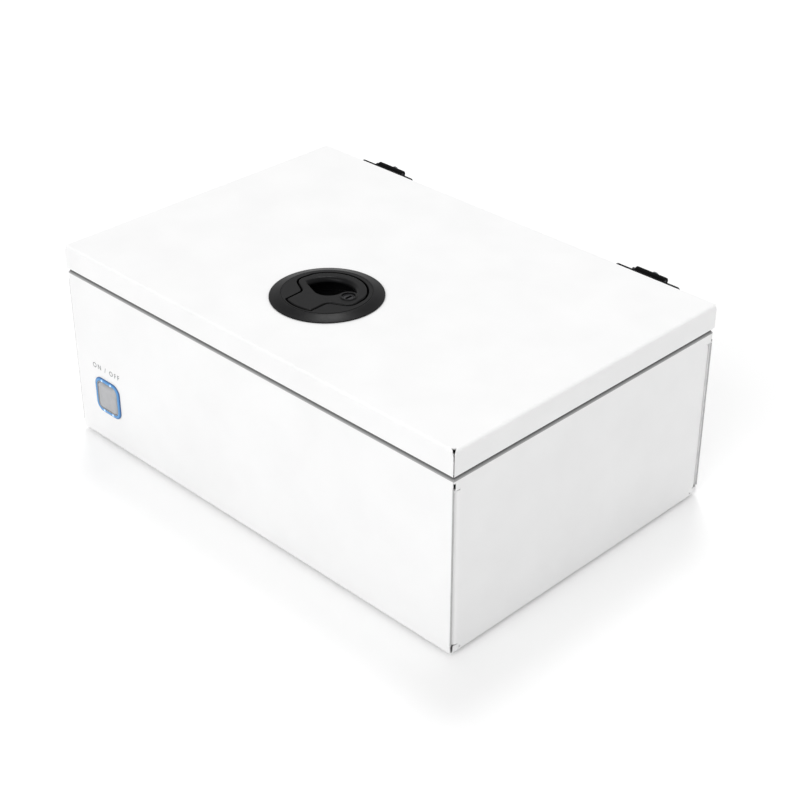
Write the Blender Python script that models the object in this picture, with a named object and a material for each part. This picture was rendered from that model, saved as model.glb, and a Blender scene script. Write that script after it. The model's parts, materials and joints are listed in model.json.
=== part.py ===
"""Tabletop disinfection box: a folded steel case with a hinged lid, a flush lift-and-turn latch,
a lit start button and the air treatment parts in a closed bay behind its front wall.

The frame stands on the floor: +X is the box's right, +Y its rear, +Z up. All sizes are in metres.
"""
import math

import bmesh
import bpy
from mathutils import Matrix, Vector

# Fits shared by every piece
GAP = 0.0003              # clearance between two pieces that seat on each other
OVERRUN = 0.004           # how far a cut runs past the face it opens
NEAR = 0.00001            # how close a point lies to a plane to count as on it
ROUND = 64                # sides of the large turned rims
MEDIUM = 24               # sides of bosses and barrels
SMALL = 10                # sides of screws and small pins
ROUND_PROFILE = 0.5       # bevels round off as a true arc
NUT_SIDES = 6
BEND_STEPS = 4            # facets around a sheet bend

# Sheet metal of case and lid
SHEET = 0.0015
LID_WIDTH = 0.600
LID_DEPTH = 0.401
LID_HEIGHT = 0.0282
LID_BEND = 0.0030
LID_CLEARANCE = 0.0038    # open seam between the case's top and the lid's lower edge
LID_OVERHANG = 0.0007     # how far the lid stands past the case on every side
BODY_HEIGHT = 0.2065
BODY_BEND = 0.0040        # outside radius of the bend along the case's top
FLOOR_BEND = 0.0025
INNER_BEND = 0.0012
CORNER_BEND = 0.0080      # outside radius of the side wall's upright bend
CORNER_FLANGE = 0.0120    # width of the flange that the front and rear walls are welded on
CORNER_STEPS = 6
CREVICE_SHARE = 0.45      # where the shadow line behind the front wall's edge ends, of the bend
SEAM = 0.0013             # width of the open corner joints
TOP_RELIEF = 0.0137       # where the upright bend ends, below the case's top
FLOOR_RELIEF = 0.0095     # where it ends above the case's underside
SLOT_WIDTH = 0.0022
SLOT_DEPTH = 0.0085
TOP_SLOT = 0.0070         # height of the open slot in the upper corner
FLOOR_SLOT = 0.0088
SLOT_SHIFT = 0.0015       # slot's line behind the corner
SLIT_RADIUS = 0.0034
SLIT_WIDTH = 0.0012
SLIT_RUN = 0.0050
SPOT_RADIUS = 0.0011      # small relief hole beside the lower corner
SPOT_INSET = 0.0129
SPOT_HEIGHT = 0.0046
RIM = 0.0160              # width of the case's turned-in top flange
RIM_CORNER = 0.0060
LID_SEAM_DEPTH = 0.0026
LID_SEAM_WIDTH = 0.0010
CORNER_HOLE = 0.0024      # radius of the pointed relief hole where three bends meet, at its top
CORNER_HOLE_HEIGHT = 0.0085
CORNER_HOLE_INSET = 0.0009
CORNER_HOLE_DROP = 0.0008 # its top below the lid's top

# Lid liner and seal
PAN_SHEET = 0.0010
PAN_RECESS = 0.0006       # how far the liner sits above the lid's lower edge
PAN_FLANGE = 0.0150
PAN_CORNER = 0.0020
SEAL_INSET = 0.0032
SEAL_WIDTH = 0.0090
SEAL_CORNER = 0.0040

# Feet
FOOT_HEIGHT = 0.0040
FOOT_RADIUS = 0.0110
FOOT_TAPER = 0.0015
FOOT_INSET = 0.0350
FOOT_WELL_RADIUS = 0.0055
FOOT_WELL_DEPTH = 0.0022

# Screws: head radius, head height, shank radius, shank length
SCREW_CROWN_SHARE = 0.62  # of the head's radius, where its top starts to round off
SCREW_LARGE = (0.0040, 0.0022, 0.0018, 0.0100)
SCREW_MEDIUM = (0.0030, 0.0018, 0.0014, 0.0060)
SCREW_SMALL = (0.0026, 0.0014, 0.0012, 0.0045)

# Bay behind the front wall
BAY_DEPTH = 0.0718        # front wall's outside to the partition's front face
PARTITION_FLANGE = 0.0140
BAY_COVER_LIP = 0.0015
COVER_CHAMFER = 0.0090
COVER_SCREW_INSET = 0.0300
GRILLE_SLOT = 0.0040
GRILLE_PITCH = 0.0085
GRILLE_COUNT = 6
GRILLE_LENGTH = 0.0440
GRILLE_END_SHARE = 0.499  # rounding of a slot's ends, of its width
COVER_SCREW_SHARE = 0.6   # cover screws across the rim, of its width

# Button
BUTTON_INSET = 0.0554     # button's middle from the case's left side
BUTTON_Z = 0.0619
RING_SIZE = 0.0454
RING_CORNER = 0.0115
RING_PROUD = 0.0017
RING_FACE = 0.0043
RING_SLOPE = 0.0024       # width of the ring's sloping outer border
RING_STEP = 0.0004        # height of its straight side
RING_WALL = 0.0020        # sleeve behind the ring, through the case's wall
RING_SLEEVE = 0.0085
SOCKET_WALL = 0.0010      # dark socket inside the ring, which the cap slides in
SOCKET_DROP = 0.0004      # its lip below the ring's face
SOCKET_DEPTH = 0.0090
SOCKET_FLOOR = 0.0015
CAP_GAP = 0.0005
CAP_THICKNESS = 0.0036
CAP_PROUD = 0.0004
CAP_EDGE = 0.0030         # width of the cap's sloping border
CAP_SLOPE = 0.0014        # how far the border falls away
CAP_DISH = 0.0005
BUTTON_TRAVEL = 0.0025
STEM_RADIUS = 0.0050
STEM_LENGTH = 0.0130
CLIP_SIZE = 0.0480
CLIP_THICKNESS = 0.0030
SWITCH_SIZE = 0.0260
SWITCH_DEPTH = 0.0220
TERMINAL_SIZE = 0.0048
TERMINAL_THICKNESS = 0.0008
TERMINAL_LENGTH = 0.0080

# Mains inlet in the left wall
INLET_Y_INSET = 0.0360    # behind the front wall's outside
INLET_Z = 0.0600
INLET_WIDTH = 0.0500
INLET_HEIGHT = 0.0230
INLET_FLANGE = 0.0025
INLET_CORNER = 0.0050
INLET_BODY_WIDTH = 0.0276
INLET_BODY_HEIGHT = 0.0196
INLET_BODY_DEPTH = 0.0210
INLET_WELL_WIDTH = 0.0238
INLET_WELL_HEIGHT = 0.0158
INLET_WELL_CUT = 0.0040
INLET_WELL_DEPTH = 0.0170
INLET_SCREW_PITCH = 0.0400
PIN_THICKNESS = 0.0020
PIN_HEIGHT = 0.0040
PIN_LENGTH = 0.0140
PIN_PITCH = 0.0070
PIN_OFFSET = 0.0020

# Pieces in the bay
SUPPLY_INSET = 0.1243     # supply's middle from the case's right side
SUPPLY_SIZE = (0.1200, 0.0520, 0.0360)
SUPPLY_FIN = 0.0020
SUPPLY_FIN_PITCH = 0.0100
SUPPLY_FIN_COUNT = 8
SUPPLY_FIN_SHARE = 0.8    # grooves' length, of the supply's depth
BOARD_SPACE = 0.0300      # between the board and the supply
BOARD_SIZE = (0.1300, 0.0500, 0.0016)
BOARD_LIFT = 0.0080
BOARD_HOLE_INSET = 0.0050
STANDOFF_RADIUS = 0.0030
RELAY_SIZE = (0.0190, 0.0155, 0.0150)
CAN_RADIUS = 0.0060
CAN_HEIGHT = 0.0180
SOCKET_STRIP = (0.0300, 0.0100, 0.0110)
DUCT_WIDTH = 0.1700
DUCT_HEIGHT = 0.0680
DUCT_DEPTH = 0.0400
DUCT_WALL = 0.0015
DUCT_DROP = 0.1235        # duct's middle below the lid's top
DUCT_TAB = 0.0120
DUCT_TAB_SHARE = 0.7      # tabs' height, of the duct's
FAN_SIZE = 0.0600
FAN_DEPTH = 0.0150
FAN_BORE = 0.0286
FAN_CORNER = 0.0040
FAN_HOLE_INSET = 0.0050
FAN_TIP_GAP = 0.0010
FAN_HUB = 0.0115
FAN_STRUT = 0.0030
FAN_BACK = 0.0025
FAN_BLADES = 7
FAN_PITCH = 38.0
FAN_BLADE = 0.0012
FAN_CHORD_SHARE = 0.9     # blades' chord, of the rotor's depth
FAN_STRUT_COUNT = 3
CELL_SIZE = (0.0620, 0.0460, 0.0020)
CELL_BLOCK = 0.0080
SENSOR_SIZE = (0.0260, 0.0120, 0.0090)
SENSOR_INSET = 0.0693     # from the case's right side
MAGNET_RADIUS = 0.0060
MAGNET_HEIGHT = 0.0050

# Hinges
HINGE_PITCH_SHARE = 0.6662     # distance between the hinges, of the lid's width
HINGE_SHIFT = 0.00625     # hinges' common shift to the right
LEAF_WIDTH = 0.0864
LEAF_THICKNESS = 0.0025
LEAF_TOP_DROP = 0.0010    # leaf's upper edge below the lid's top
LEAF_LOWER = 0.0015       # leaf's lower edge above the lid's lower edge
LEAF_CORNER = 0.0030
LEAF_SCREW_INSET = 0.0065
KNUCKLE_RADIUS = 0.0050
KNUCKLE_GAP = 0.0003      # leaf's outer face to the knuckle
KNUCKLE_DROP = 0.0046     # pivot below the lid's top
BARREL_LENGTH = 0.0392
BARREL_SHARE = 0.46       # of the barrel that the lid's knuckle takes
BRACKET_WIDTH = 0.0560
BRACKET_ARM = 0.0052
BRACKET_HEIGHT = 0.0560   # plate below the lid seam
BRACKET_STEP = 0.0010
BRACKET_SCREW_X = 0.0180
BRACKET_SCREW_PITCH = 0.0340
HINGE_PIN_RADIUS = 0.0020
HINGE_PIN_HEAD = 0.0024
HINGE_PIN_HEAD_LENGTH = 0.0052
SETTING_CAP_RADIUS = 0.0063
SETTING_CAP_HEIGHT = 0.0024
SETTING_CAP_DROP = 0.0025
SETTING_CAP_X = 0.0020
SETTING_CAP_STEPS = ((1, 1 / 3), (0.8, 0.75), (0.4, 1))     # shares of its radius and height
WEB_SHARE = 0.4           # top of the leaf's web above the pivot, of the knuckle's radius

# Latch
LATCH_X = -0.0031
LATCH_INSET = 0.1249      # latch's centre behind the lid's front edge
BEZEL_RADIUS = 0.0617
BEZEL_EDGE = 0.0014
BEZEL_RISE = 0.0052       # top of the turning disc above the lid
BEZEL_COLLAR = 0.0520
BEZEL_FLOOR = 0.0030
CUP_DEPTH = 0.0240
ROTOR_RADIUS = 0.0487
ROTOR_FLOOR = 0.0045
ROTOR_EDGE = 0.0005
LATCH_NUT_HEIGHT = 0.0060
LATCH_NUT_RADIUS = 0.0585
LATCH_NUT_NOTCHES = 8
SHAFT_RADIUS = 0.0076
SHAFT_THREAD_RADIUS = 0.0063
SHAFT_HEAD_RADIUS = 0.0105
SHAFT_HEAD_HEIGHT = 0.0030
SHAFT_SHOULDER = 0.0310   # below the lid's top
CAM_DROP = 0.0389         # cam's top below the lid's top
CAM_THICKNESS = 0.0040
CAM_REACH = 0.0460
CAM_ROOT = 0.0130
CAM_TIP = 0.0070
CAM_NUT = 0.0105
CAM_NUT_HEIGHT = 0.0050
SHAFT_TAIL = 0.0018
KEEPER_WIDTH = 0.0500
KEEPER_SHEET = 0.0025
KEEPER_LEDGE = 0.0180
KEEPER_LEG = 0.0480
KEEPER_GAP = 0.0008       # cam's top to the keeper's ledge
KEEPER_SCREW_PITCH = 0.0300
KEEPER_SCREW_DROP = 0.0280

# Handle, seen from above and measured from the latch's centre
HANDLE_TOP = 0.0056       # above the lid's top
HANDLE_THICKNESS = 0.0052
HANDLE_REAR = 0.0425      # radius of the grip's rear arc
HANDLE_FRONT = 0.0446     # radius of the arc at the pivot end
HANDLE_NECK = 0.0182      # half width of the neck at the shoulders
HANDLE_TOE_LEFT = 0.0168  # half width of the neck at its front end
HANDLE_TOE_RIGHT = 0.0188
HANDLE_SHOULDER_Y = -0.0168
HANDLE_SHOULDER_SLOPE = 27.0
HANDLE_SHOULDER_ROUND = 0.0110
HANDLE_NECK_ROUND = 0.0080
HANDLE_EDGE = 0.0015
GROOVE = 0.0021           # open line between handle and disc
GRIP_INNER = 0.0302       # radius of the finger opening's rear arc
GRIP_ROLL = 0.0048        # rounding of the grip's inner edge
FINGER_EDGE_SHARE = 0.28  # rounding of the opening's other edges, as a share of the grip's
FINGER_TURN = (-0.0034, 0.0062)
FINGER_TURN_RADIUS = 0.0164
FINGER_HEEL = 250.0       # degrees where the front edge leaves that turn
FINGER_CORNER = 0.0042
PIVOT_Y = -0.0355
PIVOT_DROP = 0.0030       # pivot below the handle's top
PIVOT_PIN = 0.0014
PIVOT_PIN_HALF = 0.0232
LOCK_X = 0.0252
LOCK_Y = 0.0075
LOCK_LAND = 0.0122        # flat left around the lock beside the finger opening
LOCK_FOOT = 0.0097        # outside of the raised bead around the lock
LOCK_CREST = 0.0084
LOCK_CREST_RISE = 0.0011
LOCK_BODY = 0.0071
LOCK_BELOW = 0.0088       # how far the lock reaches below the handle plate
LOCK_WALL = 0.0018
PLUG_RADIUS = 0.0054
KEYWAY_WIDTH = 0.0032
KEYWAY_LENGTH = 0.0084
KEYWAY_DEPTH = 0.0060

# Places worked out from the sizes above, in the box's own frame: its origin is the middle of
# the case's underside
BODY_WIDTH = LID_WIDTH - 2 * LID_OVERHANG
BODY_DEPTH = LID_DEPTH - 2 * LID_OVERHANG
LID_LOW = BODY_HEIGHT + LID_CLEARANCE
LID_TOP = LID_LOW + LID_HEIGHT
INNER_X = BODY_WIDTH / 2 - SHEET
INNER_Y = BODY_DEPTH / 2 - SHEET
FRONT_Y = -BODY_DEPTH / 2
REAR_Y = BODY_DEPTH / 2
LEFT_X = -BODY_WIDTH / 2
RIGHT_X = BODY_WIDTH / 2
BUTTON_X = LEFT_X + BUTTON_INSET
SUPPLY_X = RIGHT_X - SUPPLY_INSET
BOARD_X = SUPPLY_X - SUPPLY_SIZE[0] / 2 - BOARD_SPACE - BOARD_SIZE[0] / 2
SENSOR_X = RIGHT_X - SENSOR_INSET
LATCH_Y = -LID_DEPTH / 2 + LATCH_INSET
LATCH_HOME = (LATCH_X, LATCH_Y, LID_TOP)
HINGE_XS = [HINGE_SHIFT + side * LID_WIDTH * HINGE_PITCH_SHARE / 2 for side in (-1, 1)]
DUCT_Z = LID_TOP - DUCT_DROP
PARTITION_Y = FRONT_Y + BAY_DEPTH
CHAMBER_Y = PARTITION_Y + SHEET
COVER_TOP = BODY_HEIGHT - SHEET - GAP
PARTITION_TOP = COVER_TOP - SHEET - GAP
LEAF_BACK = LID_DEPTH / 2 + GAP
LEAF_FACE = LEAF_BACK + LEAF_THICKNESS
HINGE_Y = LEAF_FACE + KNUCKLE_GAP + KNUCKLE_RADIUS
HINGE_Z = LID_TOP - KNUCKLE_DROP
SETTING_CAP_Y = HINGE_Y + KNUCKLE_RADIUS + GAP
REAR_REACH = SETTING_CAP_Y + SETTING_CAP_HEIGHT
RING_FRONT = FRONT_Y - GAP - RING_PROUD
FRONT_REACH = RING_FRONT - CAP_PROUD
MIDDLE_Y = (REAR_REACH + FRONT_REACH) / 2
INLET_REACH = BODY_WIDTH / 2 + GAP + INLET_FLANGE + GAP + SCREW_MEDIUM[1]
MIDDLE_X = (LID_WIDTH / 2 - INLET_REACH) / 2
PIVOT_Z = LID_TOP + HANDLE_TOP - PIVOT_DROP
HANDLE_LOW = HANDLE_TOP - HANDLE_THICKNESS
POCKET_FLOOR = -CUP_DEPTH + BEZEL_FLOOR + GAP + ROTOR_FLOOR
CAP_FACE = RING_PROUD + GAP + CAP_PROUD
RING_OPENING = RING_SIZE - 2 * RING_FACE
SLEEVE_SIZE = RING_OPENING + 2 * RING_WALL
SLEEVE_CORNER = RING_CORNER - RING_FACE + RING_WALL
SOCKET_SIZE = RING_OPENING - 2 * GAP
SOCKET_CORNER = RING_CORNER - RING_FACE - GAP
CAP_SIZE = SOCKET_SIZE - 2 * SOCKET_WALL - 2 * CAP_GAP
CAP_CORNER = SOCKET_CORNER - SOCKET_WALL - CAP_GAP
DUCT_BACK = PARTITION_Y - GAP
FAN_X = -DUCT_WIDTH / 4
CELL_X = DUCT_WIDTH / 4
FAN_Y = DUCT_BACK - DUCT_WALL

SIDES = (-1, 1)
CORNERS = [(x, y) for x in SIDES for y in SIDES]


# Small helpers for outlines and solids

def arc(centre, radius, start, end, steps):
    """Points on an arc, both ends included; angles in degrees."""
    points = []
    for step in range(steps + 1):
        angle = math.radians(start + (end - start) * step / steps)
        points.append((centre[0] + radius * math.cos(angle), centre[1] + radius * math.sin(angle)))
    return points


def at_angle(centre, radius, angle):
    return arc(centre, radius, angle, angle, 1)[0]


def fillet(before, corner, after, radius, steps):
    """Arc that rounds a corner between two straight runs."""
    corner = Vector(corner)
    into = (Vector(before) - corner).normalized()
    out = (Vector(after) - corner).normalized()
    half = into.angle(out) / 2
    reach = radius / math.tan(half)
    start = corner + into * reach
    end = corner + out * reach
    centre = corner + (into + out).normalized() * (radius / math.sin(half))
    points = []
    for step in range(steps + 1):
        blend = (start - centre).lerp(end - centre, step / steps).normalized() * radius
        points.append(tuple(centre + blend))
    return points


def rounded_rectangle(width, height, radius, steps):
    points = []
    for start, x, y in ((0, 1, 1), (90, -1, 1), (180, -1, -1), (270, 1, -1)):
        centre = (x * (width / 2 - radius), y * (height / 2 - radius))
        points += arc(centre, radius, start, start + 90, steps)
    return points


def circle(radius, steps, centre=(0, 0)):
    return arc(centre, radius, 0, 360, steps)[:-1]


def oriented(u, v, w, plane):
    """A point of an outline (u, v) at height w, for an outline drawn in the named plane."""
    return {"XY": (u, v, w), "YZ": (w, u, v), "XZ": (u, w, v)}[plane]


def loft(rings, plane="XY"):
    """Closed solid through rings of equal point count, each given as (outline, height)."""
    shape = bmesh.new()
    loops = []
    for outline, height in rings:
        loops.append([shape.verts.new(oriented(u, v, height, plane)) for u, v in outline])
    count = len(loops[0])
    for low, high in zip(loops, loops[1:]):
        for i in range(count):
            j = (i + 1) % count
            shape.faces.new((low[i], low[j], high[j], high[i]))
    shape.faces.new(loops[0])
    shape.faces.new(loops[-1])
    bmesh.ops.recalc_face_normals(shape, faces=shape.faces)
    return shape


def prism(outline, low, high, plane="XY"):
    return loft([(outline, low), (outline, high)], plane)


def box(low, high):
    shape = bmesh.new()
    size = Vector(high) - Vector(low)
    middle = (Vector(high) + Vector(low)) / 2
    matrix = Matrix.Translation(middle) @ Matrix.Diagonal((*size, 1.0))
    bmesh.ops.create_cube(shape, size=1.0, matrix=matrix)
    return shape


def block(size, centre):
    """Box of a given size around a centre."""
    half = Vector(size) / 2
    return box(Vector(centre) - half, Vector(centre) + half)


def turned(profile, steps):
    """Spin a profile of (radius, height) points around Z. It may start and end on the axis."""
    shape = bmesh.new()
    verts = [shape.verts.new((radius, 0, height)) for radius, height in profile]
    edges = [shape.edges.new(pair) for pair in zip(verts, verts[1:])]
    if profile[0][0] > NEAR:
        edges.append(shape.edges.new((verts[-1], verts[0])))
    bmesh.ops.spin(shape, geom=verts + edges, cent=(0, 0, 0), axis=(0, 0, 1), dvec=(0, 0, 0),
                   angle=2 * math.pi, steps=steps, use_merge=True, use_duplicate=False)
    bmesh.ops.remove_doubles(shape, verts=shape.verts, dist=NEAR / 10)
    bmesh.ops.recalc_face_normals(shape, faces=shape.faces)
    return shape


def rod(radius, low, high, steps):
    return prism(circle(radius, steps), low, high)


def moved(shape, offset=(0, 0, 0), turn=(0, 0, 0)):
    """The same shape, turned about its origin by degrees and then shifted."""
    matrix = Matrix.Translation(offset)
    for axis, angle in zip("ZYX", reversed(turn)):
        matrix = matrix @ Matrix.Rotation(math.radians(angle), 4, axis)
    bmesh.ops.transform(shape, matrix=matrix, verts=shape.verts)
    return shape


def mirrored(shape, x, y):
    """A copy of a shape made for the corner at +X and +Y, for the corner of the given signs."""
    copy = shape.copy()
    bmesh.ops.transform(copy, matrix=Matrix.Diagonal((x, y, 1.0, 1.0)), verts=copy.verts)
    bmesh.ops.recalc_face_normals(copy, faces=copy.faces)
    return copy


def merged(shapes):
    """One mesh holding several separate shapes."""
    whole = bmesh.new()
    for shape in shapes:
        mesh = bpy.data.meshes.new("piece")
        shape.to_mesh(mesh)
        whole.from_mesh(mesh)
        bpy.data.meshes.remove(mesh)
    return whole


def on_level(height):
    return lambda edge: all(abs(vert.co.z - height) < NEAR for vert in edge.verts)


def upright(edge):
    first, last = (vert.co for vert in edge.verts)
    return (first.xy - last.xy).length < NEAR


def rounded(shape, radius, steps, choose):
    edges = [edge for edge in shape.edges if choose(edge)]
    bmesh.ops.bevel(shape, geom=edges, offset=radius, offset_type="OFFSET", segments=steps,
                    profile=ROUND_PROFILE, affect="EDGES", clamp_overlap=True, material=-1)
    return shape


# Materials, empties and objects

def paint(name, colour, roughness, metallic=0.0):
    material = bpy.data.materials.new(name)
    material.use_nodes = True
    shader = material.node_tree.nodes["Principled BSDF"]
    shader.inputs["Base Color"].default_value = (*colour, 1.0)
    shader.inputs["Roughness"].default_value = roughness
    shader.inputs["Metallic"].default_value = metallic
    return material


def axis_empty(name, place, parent=None):
    """An empty on a joint's axis; place is in the box's own frame."""
    empty = bpy.data.objects.new(name, None)
    bpy.context.scene.collection.objects.link(empty)
    empty["place"] = place
    if parent:
        empty.parent = parent
        empty.location = Vector(place) - Vector(parent["place"])
    else:
        empty.location = (-MIDDLE_X, -MIDDLE_Y, FOOT_HEIGHT)
    return empty


def tool(owner, shape, operation):
    """Add or cut a shape, kept as a hidden object beside its owner."""
    mesh = bpy.data.meshes.new(owner.name + "_tool")
    shape.to_mesh(mesh)
    cutter = bpy.data.objects.new(owner.name + "_tool", mesh)
    bpy.context.scene.collection.objects.link(cutter)
    cutter.parent = owner.parent
    cutter.location = owner.location
    cutter.rotation_euler = owner.rotation_euler
    cutter.hide_render = True
    cutter.hide_viewport = True
    cutter.display_type = "WIRE"
    change = owner.modifiers.new(operation.lower(), "BOOLEAN")
    change.operation = operation
    change.solver = "EXACT"
    change.object = cutter


def solid(name, shape, material, home, joint, turn=(0, 0, 0), adds=(), cuts=(), smooth=35.0):
    """One piece: its mesh around its home point, hung on the empty of the joint it moves with."""
    mesh = bpy.data.meshes.new(name)
    shape.to_mesh(mesh)
    mesh.shade_smooth()
    mesh.set_sharp_from_angle(angle=math.radians(smooth))
    mesh.materials.append(material)
    piece = bpy.data.objects.new(name, mesh)
    bpy.context.scene.collection.objects.link(piece)
    piece.parent = joint
    piece.location = Vector(home) - Vector(joint["place"])
    piece.rotation_euler = [math.radians(angle) for angle in turn]
    for added in adds:
        tool(piece, added, "UNION")
    for cut in cuts:
        tool(piece, cut, "DIFFERENCE")
    return piece


def screw(kind):
    """Screw with a rounded head: the head's seat at the origin, the shank pointing down."""
    head, height, shank, length = kind
    profile = [(0, -length), (shank, -length), (shank, 0), (head, 0), (head, height / 2),
               (head * SCREW_CROWN_SHARE, height), (0, height)]
    return turned(profile, SMALL)


def screw_hole(kind, depth):
    """Clearance hole for a screw's shank."""
    shank = kind[2]
    return rod(shank + GAP, -depth, OVERRUN, SMALL)


# Case

def inner_outline():
    """Inside of the case from above: flat walls, with the side walls' flanges in the corners."""
    bend_x = BODY_WIDTH / 2 - CORNER_BEND
    bend_y = INNER_Y - CORNER_BEND
    flange_x = bend_x - CORNER_FLANGE
    radius = CORNER_BEND - SHEET
    points = []
    for x, y, start in ((1, -1, 270), (1, 1, 0), (-1, 1, 90), (-1, -1, 180)):
        step = [(x * flange_x, y * INNER_Y), (x * flange_x, y * (INNER_Y - SHEET))]
        bend = arc((x * bend_x, y * bend_y), radius, start, start + 90, CORNER_STEPS)
        points += step + bend if start in (270, 90) else bend + step[::-1]
    return points


def corner_bend_cut():
    """What the upright bend leaves open at the corner of +X and +Y, and the shadow line."""
    bend_x = BODY_WIDTH / 2 - CORNER_BEND
    bend_y = INNER_Y - CORNER_BEND
    start = math.degrees(math.acos(CREVICE_SHARE))
    bend = arc((bend_x, bend_y), CORNER_BEND, 0, start, CORNER_STEPS)
    past_x = BODY_WIDTH / 2 + OVERRUN
    past_y = BODY_DEPTH / 2 + OVERRUN
    edge_x = BODY_WIDTH / 2 - SEAM
    outline = [(past_x, bend_y)] + bend + [(bend[-1][0], INNER_Y), (edge_x, INNER_Y),
                                           (edge_x, past_y), (past_x, past_y)]
    return prism(outline, FLOOR_RELIEF, BODY_HEIGHT - TOP_RELIEF)


def corner_slot(low, height):
    """Open slot through the corner, cut along its diagonal."""
    slot = block((SLOT_WIDTH, SLOT_DEPTH * 2, height), (0, 0, low + height / 2))
    return moved(slot, (BODY_WIDTH / 2, BODY_DEPTH / 2 - SLOT_SHIFT, 0), (0, 0, -45))


def corner_slit(low):
    """Hooked slit through the side wall: down from the corner slot, then level past the bend."""
    y = BODY_DEPTH / 2 - SLIT_RADIUS - SLIT_WIDTH
    centre = (y, low + SLIT_RADIUS)
    outer = arc(centre, SLIT_RADIUS + SLIT_WIDTH / 2, 0, -90, CORNER_STEPS)
    inner = arc(centre, SLIT_RADIUS - SLIT_WIDTH / 2, -90, 0, CORNER_STEPS)
    end = [(y - SLIT_RUN, low - SLIT_WIDTH / 2), (y - SLIT_RUN, low + SLIT_WIDTH / 2)]
    return prism(outer + end + inner, INNER_X - SHEET, BODY_WIDTH / 2 + OVERRUN, "YZ")


def corner_spot():
    """Small round relief hole in the side wall, low beside the corner."""
    spot = circle(SPOT_RADIUS, SMALL, (BODY_DEPTH / 2 - SPOT_INSET, SPOT_HEIGHT))
    return prism(spot, INNER_X - SHEET, BODY_WIDTH / 2 + OVERRUN, "YZ")


def build_case(frame, steel):
    case = box((-BODY_WIDTH / 2, FRONT_Y, 0), (BODY_WIDTH / 2, REAR_Y, BODY_HEIGHT))
    rounded(case, BODY_BEND, BEND_STEPS, on_level(BODY_HEIGHT))
    rounded(case, FLOOR_BEND, BEND_STEPS, on_level(0))
    top = BODY_HEIGHT - TOP_RELIEF
    hollow = prism(inner_outline(), SHEET + OVERRUN / 2, top + OVERRUN / 2)
    upper = box((-INNER_X, -INNER_Y, top), (INNER_X, INNER_Y, BODY_HEIGHT - SHEET))
    rounded(upper, INNER_BEND, 2, on_level(BODY_HEIGHT - SHEET))
    lower = box((-INNER_X, -INNER_Y, SHEET), (INNER_X, INNER_Y, FLOOR_RELIEF))
    mouth = prism(rounded_rectangle(BODY_WIDTH - 2 * RIM, BODY_DEPTH - 2 * RIM, RIM_CORNER, 3),
                  BODY_HEIGHT - SHEET - OVERRUN / 2, BODY_HEIGHT + OVERRUN)
    seam = block((2 * SEAM, 2 * SEAM, 2 * BODY_HEIGHT), (BODY_WIDTH / 2, BODY_DEPTH / 2, 0))
    shapes = (seam, corner_bend_cut(), corner_slot(top + SLIT_RADIUS - SHEET, TOP_SLOT),
              corner_slot(SHEET, FLOOR_SLOT), corner_slit(top), corner_slit(FLOOR_RELIEF),
              corner_spot())
    reliefs = [[mirrored(shape, x, y) for x, y in CORNERS] for shape in shapes]
    openings = [button_hole(), inlet_hole()] + hinge_holes() + foot_holes() + cover_holes(case=True)
    cuts = [hollow, upper, lower, mouth] + [merged(group) for group in reliefs] + [merged(openings)]
    piece = solid("body_shell", case, steel, (0, 0, 0), frame, cuts=cuts)
    tool(piece, standoffs(), "UNION")


def build_seal(frame, foam):
    """Foam seal on the rim, just inside the case's edge."""
    width = BODY_WIDTH - 2 * SEAL_INSET
    depth = BODY_DEPTH - 2 * SEAL_INSET
    low = BODY_HEIGHT + GAP
    high = LID_LOW + PAN_RECESS - GAP
    outer = prism(rounded_rectangle(width, depth, SEAL_CORNER, 3), low, high)
    inside = rounded_rectangle(width - 2 * SEAL_WIDTH, depth - 2 * SEAL_WIDTH, SEAL_CORNER, 3)
    solid("rim_seal", outer, foam, (0, 0, 0), frame,
          cuts=[prism(inside, low - OVERRUN, high + OVERRUN)])


def foot_places():
    x = BODY_WIDTH / 2 - FOOT_INSET
    y = BODY_DEPTH / 2 - FOOT_INSET
    return {"foot_front_left": (-x, -y), "foot_front_right": (x, -y),
            "foot_rear_left": (-x, y), "foot_rear_right": (x, y)}


def foot_holes():
    return [moved(screw_hole(SCREW_MEDIUM, OVERRUN), (x, y, 0)) for x, y in foot_places().values()]


def build_feet(frame, rubber, zinc):
    well = -FOOT_HEIGHT + FOOT_WELL_DEPTH
    bore = SCREW_MEDIUM[2] + GAP
    profile = [(bore, -GAP), (bore, well), (FOOT_WELL_RADIUS, well), (FOOT_WELL_RADIUS, -FOOT_HEIGHT),
               (FOOT_RADIUS - FOOT_TAPER, -FOOT_HEIGHT), (FOOT_RADIUS, -FOOT_HEIGHT + FOOT_TAPER),
               (FOOT_RADIUS, -GAP)]
    for name, (x, y) in foot_places().items():
        solid(name, turned(profile, MEDIUM), rubber, (x, y, 0), frame)
        solid(name.replace("foot", "foot_screw"), screw(SCREW_MEDIUM), zinc, (x, y, well - GAP),
              frame, (180, 0, 0))


# Bay behind the front wall

def grille(x, z):
    """Row of upright slots through the partition."""
    first = -(GRILLE_COUNT - 1) / 2
    slots = []
    for i in range(GRILLE_COUNT):
        place = x + (first + i) * GRILLE_PITCH
        outline = rounded_rectangle(GRILLE_SLOT, GRILLE_LENGTH, GRILLE_SLOT * GRILLE_END_SHARE, 3)
        outline = [(place + u, z + v) for u, v in outline]
        slots.append(prism(outline, PARTITION_Y - OVERRUN, CHAMBER_Y + OVERRUN, "XZ"))
    return slots


def cover_screw_places():
    """On the cover's front edge, under the case's rim."""
    y = FRONT_Y + RIM * COVER_SCREW_SHARE
    reach = BODY_WIDTH / 2 - COVER_SCREW_INSET
    return [(x * reach, y) for x in (-1, -1 / 3, 1 / 3, 1)]


def cover_holes(case):
    low = BODY_HEIGHT if case else COVER_TOP
    return [moved(screw_hole(SCREW_SMALL, 2 * OVERRUN), (x, y, low)) for x, y in cover_screw_places()]


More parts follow.
